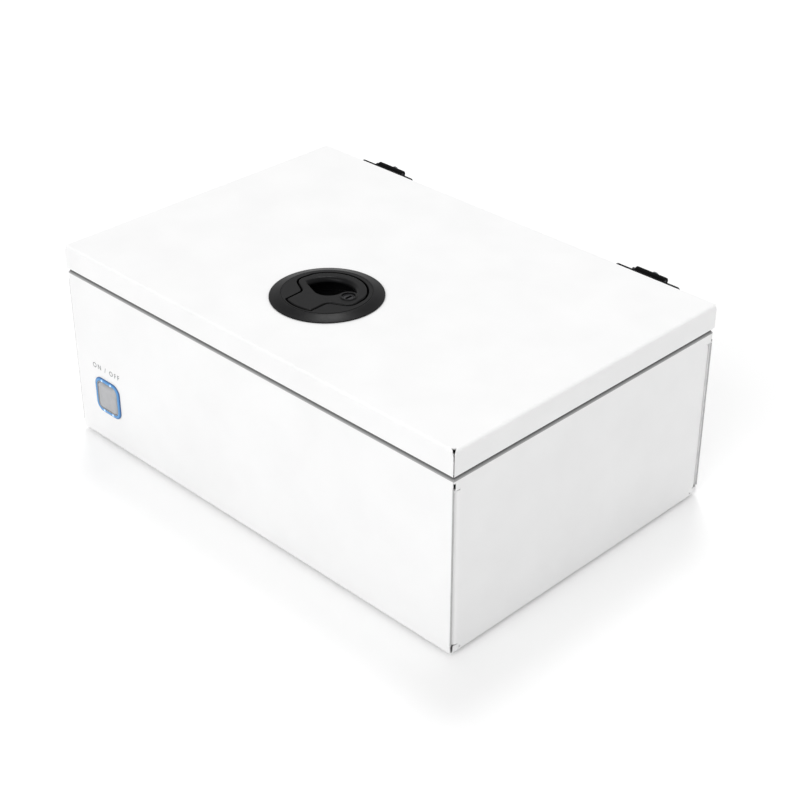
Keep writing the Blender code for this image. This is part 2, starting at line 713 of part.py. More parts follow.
def keeper_screw_places():
    z = LID_TOP - CAM_DROP - KEEPER_SCREW_DROP
    half = KEEPER_SCREW_PITCH / 2
    return [(LATCH_X - half, z), (LATCH_X + half, z)]


def duct_screw_places():
    x = DUCT_WIDTH / 2 + DUCT_TAB / 2
    z = DUCT_HEIGHT / 4
    return [(sx * x, DUCT_Z + sz * z) for sx in SIDES for sz in SIDES]


def fan_hole_places():
    reach = FAN_SIZE / 2 - FAN_HOLE_INSET
    return [(x * reach, y * reach) for x, y in CORNERS]


def build_partition(frame, steel):
    half = INNER_X - GAP
    low = SHEET + GAP
    front = PARTITION_Y - PARTITION_FLANGE
    outline = [(front, low), (CHAMBER_Y, low), (CHAMBER_Y, PARTITION_TOP), (front, PARTITION_TOP),
               (front, PARTITION_TOP - SHEET), (PARTITION_Y, PARTITION_TOP - SHEET),
               (PARTITION_Y, low + SHEET), (front, low + SHEET)]
    wall = prism(outline, -half, half, "YZ")
    holes = [moved(screw_hole(SCREW_MEDIUM, 2 * OVERRUN), (x, CHAMBER_Y, z), (-90, 0, 0))
             for x, z in keeper_screw_places()]
    holes += [moved(screw_hole(SCREW_SMALL, 2 * OVERRUN), (x, CHAMBER_Y, z), (-90, 0, 0))
              for x, z in duct_screw_places()]
    solid("bay_partition", wall, steel, (0, 0, 0), frame,
          cuts=[merged(grille(FAN_X, DUCT_Z) + grille(CELL_X, DUCT_Z)), merged(holes)])

    half = INNER_X - 2 * GAP
    front = -(INNER_Y - SHEET - GAP)
    rear = CHAMBER_Y + BAY_COVER_LIP
    cut = COVER_CHAMFER
    outline = [(-half + cut, front), (half - cut, front), (half, front + cut), (half, rear),
               (-half, rear), (-half, front + cut)]
    plate = prism(outline, COVER_TOP - SHEET, COVER_TOP)
    solid("bay_cover", plate, steel, (0, 0, 0), frame, cuts=[merged(cover_holes(case=False))])


def build_keeper(frame, zinc):
    """Bracket that the latch's cam turns under."""
    back = CHAMBER_Y + GAP
    low = LID_TOP - CAM_DROP + KEEPER_GAP
    outline = [(back, low - KEEPER_LEG), (back + KEEPER_SHEET, low - KEEPER_LEG),
               (back + KEEPER_SHEET, low), (back + KEEPER_LEDGE, low),
               (back + KEEPER_LEDGE, low + KEEPER_SHEET), (back, low + KEEPER_SHEET)]
    bracket = prism(outline, LATCH_X - KEEPER_WIDTH / 2, LATCH_X + KEEPER_WIDTH / 2, "YZ")
    face = back + KEEPER_SHEET
    holes = [moved(screw_hole(SCREW_MEDIUM, OVERRUN), (x, face, z), (-90, 0, 0))
             for x, z in keeper_screw_places()]
    solid("latch_keeper", bracket, zinc, (0, 0, 0), frame, cuts=[merged(holes)])
    for side, (x, z) in zip(("left", "right"), keeper_screw_places()):
        solid(f"keeper_screw_{side}", screw(SCREW_MEDIUM), zinc, (x, face + GAP, z), frame, (-90, 0, 0))


# Button, drawn flat and looking up, then stood against the front wall

def square(size, corner):
    return rounded_rectangle(size, size, corner, 5)


def sleeve_hole():
    return square(SLEEVE_SIZE + 2 * GAP, SLEEVE_CORNER + GAP)


def button_hole():
    hole = prism(sleeve_hole(), -OVERRUN, OVERRUN)
    return moved(hole, (BUTTON_X, FRONT_Y, BUTTON_Z), (90, 0, 0))


def build_button(frame, press, blue, silver, black, zinc):
    home = (BUTTON_X, FRONT_Y, BUTTON_Z)
    stand = (90, 0, 0)
    seat = GAP
    face = GAP + RING_PROUD
    rings = [(square(RING_SIZE, RING_CORNER), seat),
             (square(RING_SIZE, RING_CORNER), seat + RING_STEP),
             (square(RING_SIZE - RING_SLOPE, RING_CORNER - RING_SLOPE / 2), face - RING_STEP),
             (square(RING_SIZE - 2 * RING_SLOPE, RING_CORNER - RING_SLOPE), face)]
    sleeve = prism(square(SLEEVE_SIZE, SLEEVE_CORNER), -RING_SLEEVE, seat + RING_STEP)
    opening = prism(square(RING_OPENING, RING_CORNER - RING_FACE), -RING_SLEEVE - OVERRUN, face + OVERRUN)
    solid("button_ring", loft(rings), blue, home, frame, stand, adds=[sleeve], cuts=[opening])

    floor = -SOCKET_DEPTH
    cup = prism(square(SOCKET_SIZE, SOCKET_CORNER), floor - SOCKET_FLOOR, face - SOCKET_DROP)
    well = prism(square(SOCKET_SIZE - 2 * SOCKET_WALL, SOCKET_CORNER - SOCKET_WALL), floor, face + OVERRUN)
    bore = rod(STEM_RADIUS + GAP, floor - SOCKET_FLOOR - OVERRUN, floor + OVERRUN, MEDIUM)
    solid("button_socket", cup, black, home, frame, stand, cuts=[well, bore])

    high = CAP_FACE
    rings = [(square(CAP_SIZE, CAP_CORNER), high - CAP_THICKNESS),
             (square(CAP_SIZE, CAP_CORNER), high - CAP_SLOPE),
             (square(CAP_SIZE - CAP_EDGE, CAP_CORNER - CAP_EDGE / 2), high - CAP_SLOPE / 4),
             (square(CAP_SIZE - 2 * CAP_EDGE, CAP_CORNER - CAP_EDGE), high),
             (square(CAP_SIZE - 3 * CAP_EDGE, CAP_CORNER - CAP_EDGE), high - CAP_DISH / 2),
             (square(CAP_SIZE - 5 * CAP_EDGE, CAP_CORNER - CAP_EDGE), high - CAP_DISH)]
    stem = rod(STEM_RADIUS, high - CAP_THICKNESS - STEM_LENGTH, high - CAP_THICKNESS + CAP_SLOPE,
               MEDIUM)
    solid("button_cap", loft(rings), silver, home, press, stand, adds=[stem])

    back = -SHEET - GAP
    clip = prism(square(CLIP_SIZE, RING_CORNER), back - CLIP_THICKNESS, back)
    solid("button_clip", clip, zinc, home, frame, stand,
          cuts=[prism(sleeve_hole(), back - CLIP_THICKNESS - OVERRUN, back + OVERRUN)])

    top = floor - SOCKET_FLOOR - GAP
    body = block((SWITCH_SIZE, SWITCH_SIZE, SWITCH_DEPTH), (0, 0, top - SWITCH_DEPTH / 2))
    rounded(body, CAP_EDGE, 2, upright)
    well = rod(STEM_RADIUS + 2 * GAP, high - CAP_THICKNESS - STEM_LENGTH - 2 * BUTTON_TRAVEL,
               top + OVERRUN, MEDIUM)
    low = top - SWITCH_DEPTH - TERMINAL_LENGTH / 2 + TERMINAL_THICKNESS
    blade = (TERMINAL_THICKNESS, TERMINAL_SIZE, TERMINAL_LENGTH)
    blades = [block(blade, (x * SWITCH_SIZE / 4, y * SWITCH_SIZE / 4, low)) for x, y in CORNERS]
    solid("button_switch", body, black, home, frame, stand, adds=[merged(blades)], cuts=[well])


# Mains inlet, drawn flat and looking up, then stood against the left wall

def inlet_home():
    return (-BODY_WIDTH / 2, FRONT_Y + INLET_Y_INSET, INLET_Z)


def inlet_hole():
    size = (INLET_BODY_WIDTH + 2 * GAP, INLET_BODY_HEIGHT + 2 * GAP, 2 * OVERRUN)
    holes = [block(size, (0, 0, 0))]
    holes += [moved(screw_hole(SCREW_MEDIUM, OVERRUN), (x * INLET_SCREW_PITCH / 2, 0, 0))
              for x in SIDES]
    return moved(merged(holes), inlet_home(), (90, 0, -90))


def inlet_well():
    """Six-sided recess of the inlet: a rectangle with its two upper corners cut off."""
    x = INLET_WELL_WIDTH / 2
    y = INLET_WELL_HEIGHT / 2
    cut = INLET_WELL_CUT
    return [(-x, -y), (x, -y), (x, y - cut), (x - cut, y), (-x + cut, y), (-x, y - cut)]


def build_inlet(frame, black, zinc):
    home = inlet_home()
    stand = (90, 0, -90)
    face = GAP + INLET_FLANGE
    plate = prism(rounded_rectangle(INLET_WIDTH, INLET_HEIGHT, INLET_CORNER, 4), GAP, face)
    body = block((INLET_BODY_WIDTH, INLET_BODY_HEIGHT, INLET_BODY_DEPTH),
                 (0, 0, GAP + INLET_FLANGE / 2 - INLET_BODY_DEPTH / 2))
    well = prism(inlet_well(), face - INLET_WELL_DEPTH, face + OVERRUN)
    seats = [moved(screw_hole(SCREW_MEDIUM, OVERRUN + INLET_FLANGE), (x * INLET_SCREW_PITCH / 2, 0, face))
             for x in SIDES]
    solid("mains_inlet", plate, black, home, frame, stand, adds=[body], cuts=[well, merged(seats)])
    low = face - INLET_WELL_DEPTH + GAP
    for name, x, y in (("live", -PIN_PITCH, -PIN_OFFSET), ("earth", 0, PIN_OFFSET),
                       ("neutral", PIN_PITCH, -PIN_OFFSET)):
        pin = block((PIN_THICKNESS, PIN_HEIGHT, PIN_LENGTH), (x, y, low + PIN_LENGTH / 2))
        solid(f"inlet_pin_{name}", pin, zinc, home, frame, stand)
    for name, x in zip(("front", "rear"), SIDES):
        head = moved(screw(SCREW_MEDIUM), (x * INLET_SCREW_PITCH / 2, 0, face + GAP))
        solid(f"inlet_screw_{name}", head, zinc, home, frame, stand)


# Electronics and air parts

def build_supply(frame, zinc):
    """Mains supply in a ribbed can on the bay's floor."""
    width, depth, height = SUPPLY_SIZE
    can = block(SUPPLY_SIZE, (0, 0, height / 2))
    first = -(SUPPLY_FIN_COUNT - 1) / 2
    size = (SUPPLY_FIN, depth * SUPPLY_FIN_SHARE, 2 * SUPPLY_FIN)
    grooves = [block(size, ((first + i) * SUPPLY_FIN_PITCH, 0, height))
               for i in range(SUPPLY_FIN_COUNT)]
    home = (SUPPLY_X, bay_middle(), SHEET + GAP)
    solid("power_supply", can, zinc, home, frame, cuts=[merged(grooves)])


def board_hole_places():
    width, depth, _ = BOARD_SIZE
    x = width / 2 - BOARD_HOLE_INSET
    y = depth / 2 - BOARD_HOLE_INSET
    return [(sx * x, sy * y) for sx, sy in CORNERS]


def bay_middle():
    """Middle of the bay's floor, between the front wall and the partition's flange."""
    return (FRONT_Y + PARTITION_Y - PARTITION_FLANGE) / 2


def standoffs():
    """Threaded spacers pressed into the case's floor, under the board's corners."""
    bore = SCREW_SMALL[2] + GAP
    low = SHEET - GAP
    post = [(bore, low), (STANDOFF_RADIUS, low), (STANDOFF_RADIUS, SHEET + BOARD_LIFT),
            (bore, SHEET + BOARD_LIFT)]
    return merged([moved(turned(post, SMALL), (BOARD_X + x, bay_middle() + y, 0))
                   for x, y in board_hole_places()])


def build_board(frame, green):
    width, depth, thick = BOARD_SIZE
    home = (BOARD_X, bay_middle(), SHEET + BOARD_LIFT + GAP)
    board = block(BOARD_SIZE, (0, 0, thick / 2))
    parts = [block(RELAY_SIZE, (-width / 4, depth / 6, thick + RELAY_SIZE[2] / 2 - GAP)),
             block(RELAY_SIZE, (0, depth / 6, thick + RELAY_SIZE[2] / 2 - GAP)),
             block(SOCKET_STRIP, (width / 5, -depth / 4, thick + SOCKET_STRIP[2] / 2 - GAP)),
             moved(rod(CAN_RADIUS, -GAP, CAN_HEIGHT, MEDIUM), (width / 3, depth / 6, thick))]
    holes = [moved(screw_hole(SCREW_SMALL, OVERRUN), (x, y, 0)) for x, y in board_hole_places()]
    solid("control_board", board, green, home, frame, adds=[merged(parts)], cuts=[merged(holes)])


def build_duct(frame, grey, ceramic):
    """Closed duct on the partition's bay side: the fan in one half, the ozone cell in the other.

    It is drawn lying on its open face and stood up, so its depth points into the bay."""
    home = (0, DUCT_BACK, DUCT_Z)
    stand = (90, 0, 0)
    shell = block((DUCT_WIDTH, DUCT_HEIGHT, DUCT_DEPTH), (0, 0, DUCT_DEPTH / 2))
    rounded(shell, FAN_CORNER, 2, upright)
    tab = block((DUCT_WIDTH + 2 * DUCT_TAB, DUCT_HEIGHT * DUCT_TAB_SHARE, DUCT_WALL), (0, 0, DUCT_WALL / 2))
    inside = block((DUCT_WIDTH - 2 * DUCT_WALL, DUCT_HEIGHT - 2 * DUCT_WALL, DUCT_DEPTH),
                   (0, 0, DUCT_DEPTH / 2 - DUCT_WALL))
    holes = [moved(screw_hole(SCREW_SMALL, OVERRUN), (x, z - DUCT_Z, DUCT_WALL))
             for x, z in duct_screw_places()]
    solid("air_duct", shell, grey, home, frame, stand, adds=[tab], cuts=[inside, merged(holes)])

    width, height, thick = CELL_SIZE
    place = (CELL_X, 0, DUCT_DEPTH - DUCT_WALL - GAP)
    plate = block(CELL_SIZE, (0, 0, -CELL_BLOCK - thick / 2 + GAP))
    blocks = [block((CELL_BLOCK, height, CELL_BLOCK), (x * (width - CELL_BLOCK) / 2, 0, -CELL_BLOCK / 2))
              for x in SIDES]
    cell = moved(plate, place)
    solid("ozone_cell", cell, ceramic, home, frame, stand,
          adds=[moved(merged(blocks), place)])


def build_fan(frame, spin, black):
    """Axial fan screwed to the partition, its axis along Y. Drawn lying on its inlet side."""
    home = (FAN_X, DUCT_BACK, DUCT_Z)
    stand = (90, 0, 0)
    casing = prism(rounded_rectangle(FAN_SIZE, FAN_SIZE, FAN_CORNER, 3), 0, FAN_DEPTH)
    bore = rod(FAN_BORE, -OVERRUN, FAN_DEPTH + OVERRUN, MEDIUM)
    cup = rod(FAN_HUB, FAN_DEPTH - FAN_BACK, FAN_DEPTH, MEDIUM)
    reach = FAN_BORE + FAN_CORNER / 2
    struts = []
    for i in range(FAN_STRUT_COUNT):
        bar = block((reach, FAN_STRUT, FAN_BACK), (reach / 2, 0, FAN_DEPTH - FAN_BACK / 2))
        struts.append(moved(bar, (0, 0, 0), (0, 0, 360 * i / FAN_STRUT_COUNT + 90)))
    axle = rod(PIVOT_PIN, FAN_DEPTH / 2, FAN_DEPTH - FAN_BACK / 2, SMALL)
    piece = solid("fan_frame", casing, black, home, frame, stand)
    holes = [moved(screw_hole(SCREW_SMALL, FAN_DEPTH + OVERRUN), (x, y, FAN_DEPTH))
             for x, y in fan_hole_places()]
    tool(piece, merged([bore] + holes), "DIFFERENCE")
    tool(piece, cup, "UNION")
    for bar in struts:
        tool(piece, bar, "UNION")
    tool(piece, axle, "UNION")

    low = FAN_DEPTH / 6
    high = FAN_DEPTH - FAN_BACK - GAP
    hole = PIVOT_PIN + GAP
    hub = turned([(0, low), (FAN_HUB, low), (FAN_HUB, high), (hole, high),
                  (hole, FAN_DEPTH / 2 - GAP), (0, FAN_DEPTH / 2 - GAP)], MEDIUM)
    tip = FAN_BORE - FAN_TIP_GAP
    root = FAN_HUB - 2 * FAN_BLADE
    chord = (high - low) * FAN_CHORD_SHARE
    blades = []
    for i in range(FAN_BLADES):
        blade = block((tip - root, FAN_BLADE, chord), ((tip + root) / 2, 0, 0))
        blade = moved(blade, (0, 0, (low + high) / 2), (FAN_PITCH, 0, 0))
        blades.append(moved(blade, (0, 0, 0), (0, 0, 360 * i / FAN_BLADES)))
    disc = rod(tip, low + NEAR, high - NEAR, MEDIUM)
    rotor = solid("fan_rotor", hub, black, home, spin, stand)
    for blade in blades:
        tool(rotor, blade, "UNION")
    tool(rotor, disc, "INTERSECT")


def build_sensor(frame, lid, black, zinc):
    """Lid contact: a sensor under the bay's cover and a magnet in the lid above it."""
    width, depth, height = SENSOR_SIZE
    y = (FRONT_Y + PARTITION_Y) / 2
    top = COVER_TOP - SHEET - GAP
    body = block(SENSOR_SIZE, (0, 0, -height / 2))
    rounded(body, PAN_CORNER, 2, upright)
    solid("lid_sensor", body, black, (SENSOR_X, y, top), frame)
    floor = LID_LOW + PAN_RECESS + PAN_SHEET + GAP
    solid("lid_magnet", rod(MAGNET_RADIUS, 0, MAGNET_HEIGHT, MEDIUM), zinc, (SENSOR_X, y, floor), lid)


# Hinges

def bracket_screw_places():
    middle = BODY_HEIGHT - BRACKET_HEIGHT / 2
    half = BRACKET_SCREW_PITCH / 2
    return [(sx * BRACKET_SCREW_X, middle + sz * half) for sx in SIDES for sz in SIDES]


def leaf_screw_places():
    low = LID_LOW + LEAF_LOWER + LEAF_SCREW_INSET
    high = LID_TOP - LEAF_TOP_DROP - LEAF_SCREW_INSET
    x = LEAF_WIDTH / 2 - LEAF_SCREW_INSET
    return [(sx * x, z) for sx in SIDES for z in (low, high)]


def hinge_holes():
    """Holes in the case's rear wall for the bracket screws."""
    return [moved(screw_hole(SCREW_LARGE, OVERRUN), (x + place[0], REAR_Y, place[1]), (-90, 0, 0))
            for x in HINGE_XS for place in bracket_screw_places()]


def leaf_holes():
    return [moved(screw_hole(SCREW_SMALL, OVERRUN), (x + place[0], LID_DEPTH / 2, place[1]), (-90, 0, 0))
            for x in HINGE_XS for place in leaf_screw_places()]


def barrel(start, end, grow=0.0):
    """Knuckle around the hinge axis, from one place along X to another."""
    return moved(rod(KNUCKLE_RADIUS + grow, start, end, MEDIUM), (0, HINGE_Y, HINGE_Z), (0, 90, 0))


def build_hinge(side, x, frame, lid, black, dark, grey):
    left = -BARREL_LENGTH / 2
    split = left + BARREL_LENGTH * BARREL_SHARE
    right = BARREL_LENGTH / 2
    bore = moved(rod(HINGE_PIN_RADIUS + GAP, -BRACKET_WIDTH, BRACKET_WIDTH, MEDIUM),
                 (0, HINGE_Y, HINGE_Z), (0, 90, 0))
    home = (x, 0, 0)

    low = LID_LOW + LEAF_LOWER
    high = LID_TOP - LEAF_TOP_DROP
    outline = rounded_rectangle(LEAF_WIDTH, high - low, LEAF_CORNER, 3)
    outline = [(u, v + (low + high) / 2) for u, v in outline]
    leaf = prism(outline, LEAF_BACK, LEAF_FACE, "XZ")
    web = box((left, LEAF_FACE - LEAF_THICKNESS / 2, HINGE_Z - KNUCKLE_RADIUS / 2),
              (split, HINGE_Y, HINGE_Z + KNUCKLE_RADIUS * WEB_SHARE))
    holes = [moved(screw_hole(SCREW_SMALL, 2 * OVERRUN), (px, LEAF_FACE, pz), (-90, 0, 0))
             for px, pz in leaf_screw_places()]
    solid(f"hinge_leaf_{side}", leaf, black, home, lid, adds=[web, barrel(left, split)],
          cuts=[bore, merged(holes)])

    inside = LEAF_FACE + 2 * GAP
    outside = inside + BRACKET_ARM
    low = BODY_HEIGHT - BRACKET_HEIGHT
    step = BODY_HEIGHT - 2 * BRACKET_STEP
    back = REAR_Y + GAP
    outline = [(back, low), (outside - BRACKET_ARM / 2, low), (outside, low + BRACKET_ARM / 2),
               (outside, HINGE_Z), (inside, HINGE_Z), (inside, step + BRACKET_STEP * 2),
               (back, step)]
    arm = prism(outline, -BRACKET_WIDTH / 2, BRACKET_WIDTH / 2, "YZ")
    clear = HINGE_Z - KNUCKLE_RADIUS - 2 * GAP
    notches = [box((start, inside - OVERRUN, clear), (end, outside + OVERRUN, HINGE_Z + OVERRUN))
               for start, end in ((-BRACKET_WIDTH, split + GAP), (right, BRACKET_WIDTH))]
    head, height, _, _ = SCREW_LARGE
    wells = []
    for px, pz in bracket_screw_places():
        well = rod(head + GAP, -height - GAP, OVERRUN, SMALL)
        wells.append(moved(well, (px, outside, pz), (-90, 0, 0)))
        hole = screw_hole(SCREW_LARGE, 4 * OVERRUN)
        wells.append(moved(hole, (px, outside - height, pz), (-90, 0, 0)))
    piece = solid(f"hinge_bracket_{side}", arm, black, home, frame, cuts=notches)
    tool(piece, barrel(split + GAP, right), "UNION")
    tool(piece, bore, "DIFFERENCE")
    for well in wells:
        tool(piece, well, "DIFFERENCE")

    shank = rod(HINGE_PIN_RADIUS, left - GAP, right, MEDIUM)
    head = rod(HINGE_PIN_HEAD, left - HINGE_PIN_HEAD_LENGTH, left - GAP, MEDIUM)
    rounded(head, HINGE_PIN_HEAD / 4, 2, on_level(left - HINGE_PIN_HEAD_LENGTH))
    pin = moved(shank, (0, HINGE_Y, HINGE_Z), (0, 90, 0))
    head = moved(head, (0, HINGE_Y, HINGE_Z), (0, 90, 0))
    solid(f"hinge_pin_{side}", pin, dark, home, frame, adds=[head])

    radius = SETTING_CAP_RADIUS
    crown = [(radius * across, SETTING_CAP_HEIGHT * up) for across, up in SETTING_CAP_STEPS]
    cap = turned([(0, 0), (radius, 0)] + crown + [(0, SETTING_CAP_HEIGHT)], MEDIUM)
    solid(f"hinge_setting_cap_{side}", cap, grey,
          (x + SETTING_CAP_X, SETTING_CAP_Y, HINGE_Z - SETTING_CAP_DROP), frame, (-90, 0, 0))


# Lid

def build_lid(lid, steel):
    shell = box((-LID_WIDTH / 2, -LID_DEPTH / 2, LID_LOW), (LID_WIDTH / 2, LID_DEPTH / 2, LID_TOP))
    rounded(shell, LID_BEND, BEND_STEPS, on_level(LID_TOP))
    x = LID_WIDTH / 2 - SHEET
    y = LID_DEPTH / 2 - SHEET
    hollow = box((-x, -y, LID_LOW - OVERRUN), (x, y, LID_TOP - SHEET))
    rounded(hollow, LID_BEND - SHEET, 2, on_level(LID_TOP - SHEET))
    hole_top = LID_TOP - CORNER_HOLE_DROP
    seam = box((-LID_SEAM_WIDTH / 2, -LID_SEAM_DEPTH, LID_LOW - OVERRUN),
               (LID_SEAM_WIDTH / 2, LID_SEAM_DEPTH, hole_top - CORNER_HOLE_HEIGHT / 4))
    seam = moved(seam, (LID_WIDTH / 2, LID_DEPTH / 2, 0), (0, 0, -45))
    hole = turned([(0, hole_top - CORNER_HOLE_HEIGHT), (CORNER_HOLE, hole_top), (0, hole_top)], SMALL)
    hole = moved(hole, (LID_WIDTH / 2 - CORNER_HOLE_INSET, LID_DEPTH / 2 - CORNER_HOLE_INSET, 0))
    bore = moved(rod(BEZEL_COLLAR + GAP, -OVERRUN, OVERRUN, ROUND), (LATCH_X, LATCH_Y, LID_TOP))
    solid("lid_shell", shell, steel, (0, 0, 0), lid,
          cuts=[hollow, merged([mirrored(seam, sx, sy) for sx, sy in CORNERS]),
                merged([mirrored(hole, sx, sy) for sx, sy in CORNERS]), bore, merged(leaf_holes())])

    low = LID_LOW + PAN_RECESS
    x = LID_WIDTH / 2 - SHEET - GAP
    y = LID_DEPTH / 2 - SHEET - GAP
    pan = box((-x, -y, low), (x, y, low + PAN_FLANGE))
    rounded(pan, PAN_CORNER, 2, upright)
    x -= PAN_SHEET
    y -= PAN_SHEET
    inside = box((-x, -y, low + PAN_SHEET), (x, y, low + PAN_FLANGE + OVERRUN))
    rounded(inside, PAN_SHEET, 2, upright)
    hole = moved(rod(SHAFT_HEAD_RADIUS, -OVERRUN, OVERRUN, MEDIUM), (LATCH_X, LATCH_Y, low))
    clear = [moved(screw_hole(SCREW_MEDIUM, 2 * OVERRUN), (px + x_place, LID_DEPTH / 2, pz), (-90, 0, 0))
             for x_place in HINGE_XS for px, pz in leaf_screw_places()]
    solid("lid_liner", pan, steel, (0, 0, 0), lid, cuts=[inside, hole, merged(clear)])


# Latch, drawn around its own centre with the lid's top at height zero

def build_bezel(lid, black, nut_grey):
    bore = ROTOR_RADIUS + GAP
    low = -CUP_DEPTH
    slope_top = BEZEL_RISE - ROTOR_EDGE
    profile = [(SHAFT_RADIUS + 2 * GAP, low), (BEZEL_COLLAR, low), (BEZEL_COLLAR, GAP),
               (BEZEL_RADIUS - ROTOR_EDGE, GAP), (BEZEL_RADIUS, GAP + ROTOR_EDGE),
               (BEZEL_RADIUS, BEZEL_EDGE), (BEZEL_RADIUS - 2 * ROTOR_EDGE, BEZEL_EDGE + ROTOR_EDGE / 2),
               (bore + 2 * ROTOR_EDGE, slope_top + ROTOR_EDGE / 2), (bore, slope_top),
               (bore, low + BEZEL_FLOOR), (SHAFT_RADIUS + 2 * GAP, low + BEZEL_FLOOR)]
    solid("latch_bezel", turned(profile, ROUND), black, LATCH_HOME, lid)
    top = -SHEET - GAP
    nut = turned([(BEZEL_COLLAR + GAP, top - LATCH_NUT_HEIGHT), (LATCH_NUT_RADIUS, top - LATCH_NUT_HEIGHT),
                  (LATCH_NUT_RADIUS, top), (BEZEL_COLLAR + GAP, top)], ROUND)
    bite = LATCH_NUT_RADIUS - BEZEL_COLLAR
    notches = []
    for i in range(LATCH_NUT_NOTCHES):
        notch = block((bite, bite, 2 * LATCH_NUT_HEIGHT + OVERRUN), (LATCH_NUT_RADIUS + bite / 6, 0, top))
        notches.append(moved(notch, (0, 0, 0), (0, 0, 360 * i / LATCH_NUT_NOTCHES)))
    solid("latch_nut", nut, nut_grey, LATCH_HOME, lid, cuts=[merged(notches)])


def bell_side(grow, toe_half):
    """Right side of the handle's outline, from the pivot arc round to the grip's rear."""
    rear = HANDLE_REAR + grow
    front = HANDLE_FRONT + grow
    neck = HANDLE_NECK + grow
    slope = math.radians(HANDLE_SHOULDER_SLOPE)
    shoulder_y = HANDLE_SHOULDER_Y - grow * (1 - math.sin(slope)) / math.cos(slope)
    run = Vector((math.cos(slope), math.sin(slope)))
    foot = Vector((neck, shoulder_y))
    along = foot.dot(run)
    reach = -along + math.sqrt(along * along - foot.length_squared + rear * rear)
    corner = foot + run * reach
    start = math.degrees(math.atan2(corner.y, corner.x)) + 2 * math.degrees(HANDLE_SHOULDER_ROUND / rear)
    first = at_angle((0, 0), rear, start)
    toe_angle = 270 + math.degrees(math.asin((toe_half + grow) / front))
    toe = at_angle((0, 0), front, toe_angle)
    half = fillet(toe, foot, corner, HANDLE_NECK_ROUND - grow, 5)
    half += fillet(foot, corner, first, HANDLE_SHOULDER_ROUND + grow, 6)
    half += arc((0, 0), rear, start, 90, 14)[:-1]
    return arc((0, 0), front, 270, toe_angle, 6)[1:] + half


def bell(grow):
    """Handle outline from above: wide grip arc to the rear, neck and pivot arc to the front.

    grow moves the whole outline outwards by that much."""
    right = bell_side(grow, HANDLE_TOE_RIGHT)
    left = [(-x, y) for x, y in reversed(bell_side(grow, HANDLE_TOE_LEFT))]
    return right + [(0, HANDLE_REAR + grow)] + left + [(0, -HANDLE_FRONT - grow)]


def finger_outline(grow):
    """Finger opening from above: a wide arc under the grip, a rounded front edge and, on the
    right, the arc that leaves the flat around the lock. grow widens it."""
    rear = GRIP_INNER + grow
    edge = grow * FINGER_EDGE_SHARE
    land = LOCK_LAND - edge
    lock = Vector((LOCK_X, LOCK_Y))
    cosine = (lock.length_squared + rear * rear - land * land) / (2 * lock.length * rear)
    tip = math.degrees(math.atan2(LOCK_Y, LOCK_X) + math.acos(cosine))
    tip_point = at_angle((0, 0), rear, tip)
    lock_start = math.degrees(math.atan2(tip_point[1] - LOCK_Y, tip_point[0] - LOCK_X))

    turn = FINGER_TURN_RADIUS + edge
    heel = Vector(at_angle(FINGER_TURN, turn, FINGER_HEEL))
    run = Vector(at_angle((0, 0), 1, FINGER_HEEL - 90))
    along = heel.dot(run)
    reach = -along + math.sqrt(along * along - heel.length_squared + rear * rear)
    corner = heel + run * reach
    end = math.degrees(math.atan2(corner.y, corner.x)) % 360
    start = end - 2 * math.degrees(FINGER_CORNER / rear)
    outline = arc((0, 0), rear, tip, start, 18)
    outline += fillet(outline[-1], corner, heel, FINGER_CORNER, 4)
    outline += arc(FINGER_TURN, turn, FINGER_HEEL, 360, 9)
    outline += arc(lock, land, 180, lock_start, 8)[:-1]
    return outline


def rolled(outline, low, high, roll, steps, sign):
    """Rings of a solid whose upper edge rolls inwards (sign -1) or outwards (sign 1)."""
    rings = [(outline(0), low)]
    for step in range(steps + 1):
        angle = math.pi / 2 * step / steps
        rings.append((outline(sign * roll * (1 - math.cos(angle))), high - roll + roll * math.sin(angle)))
    return rings


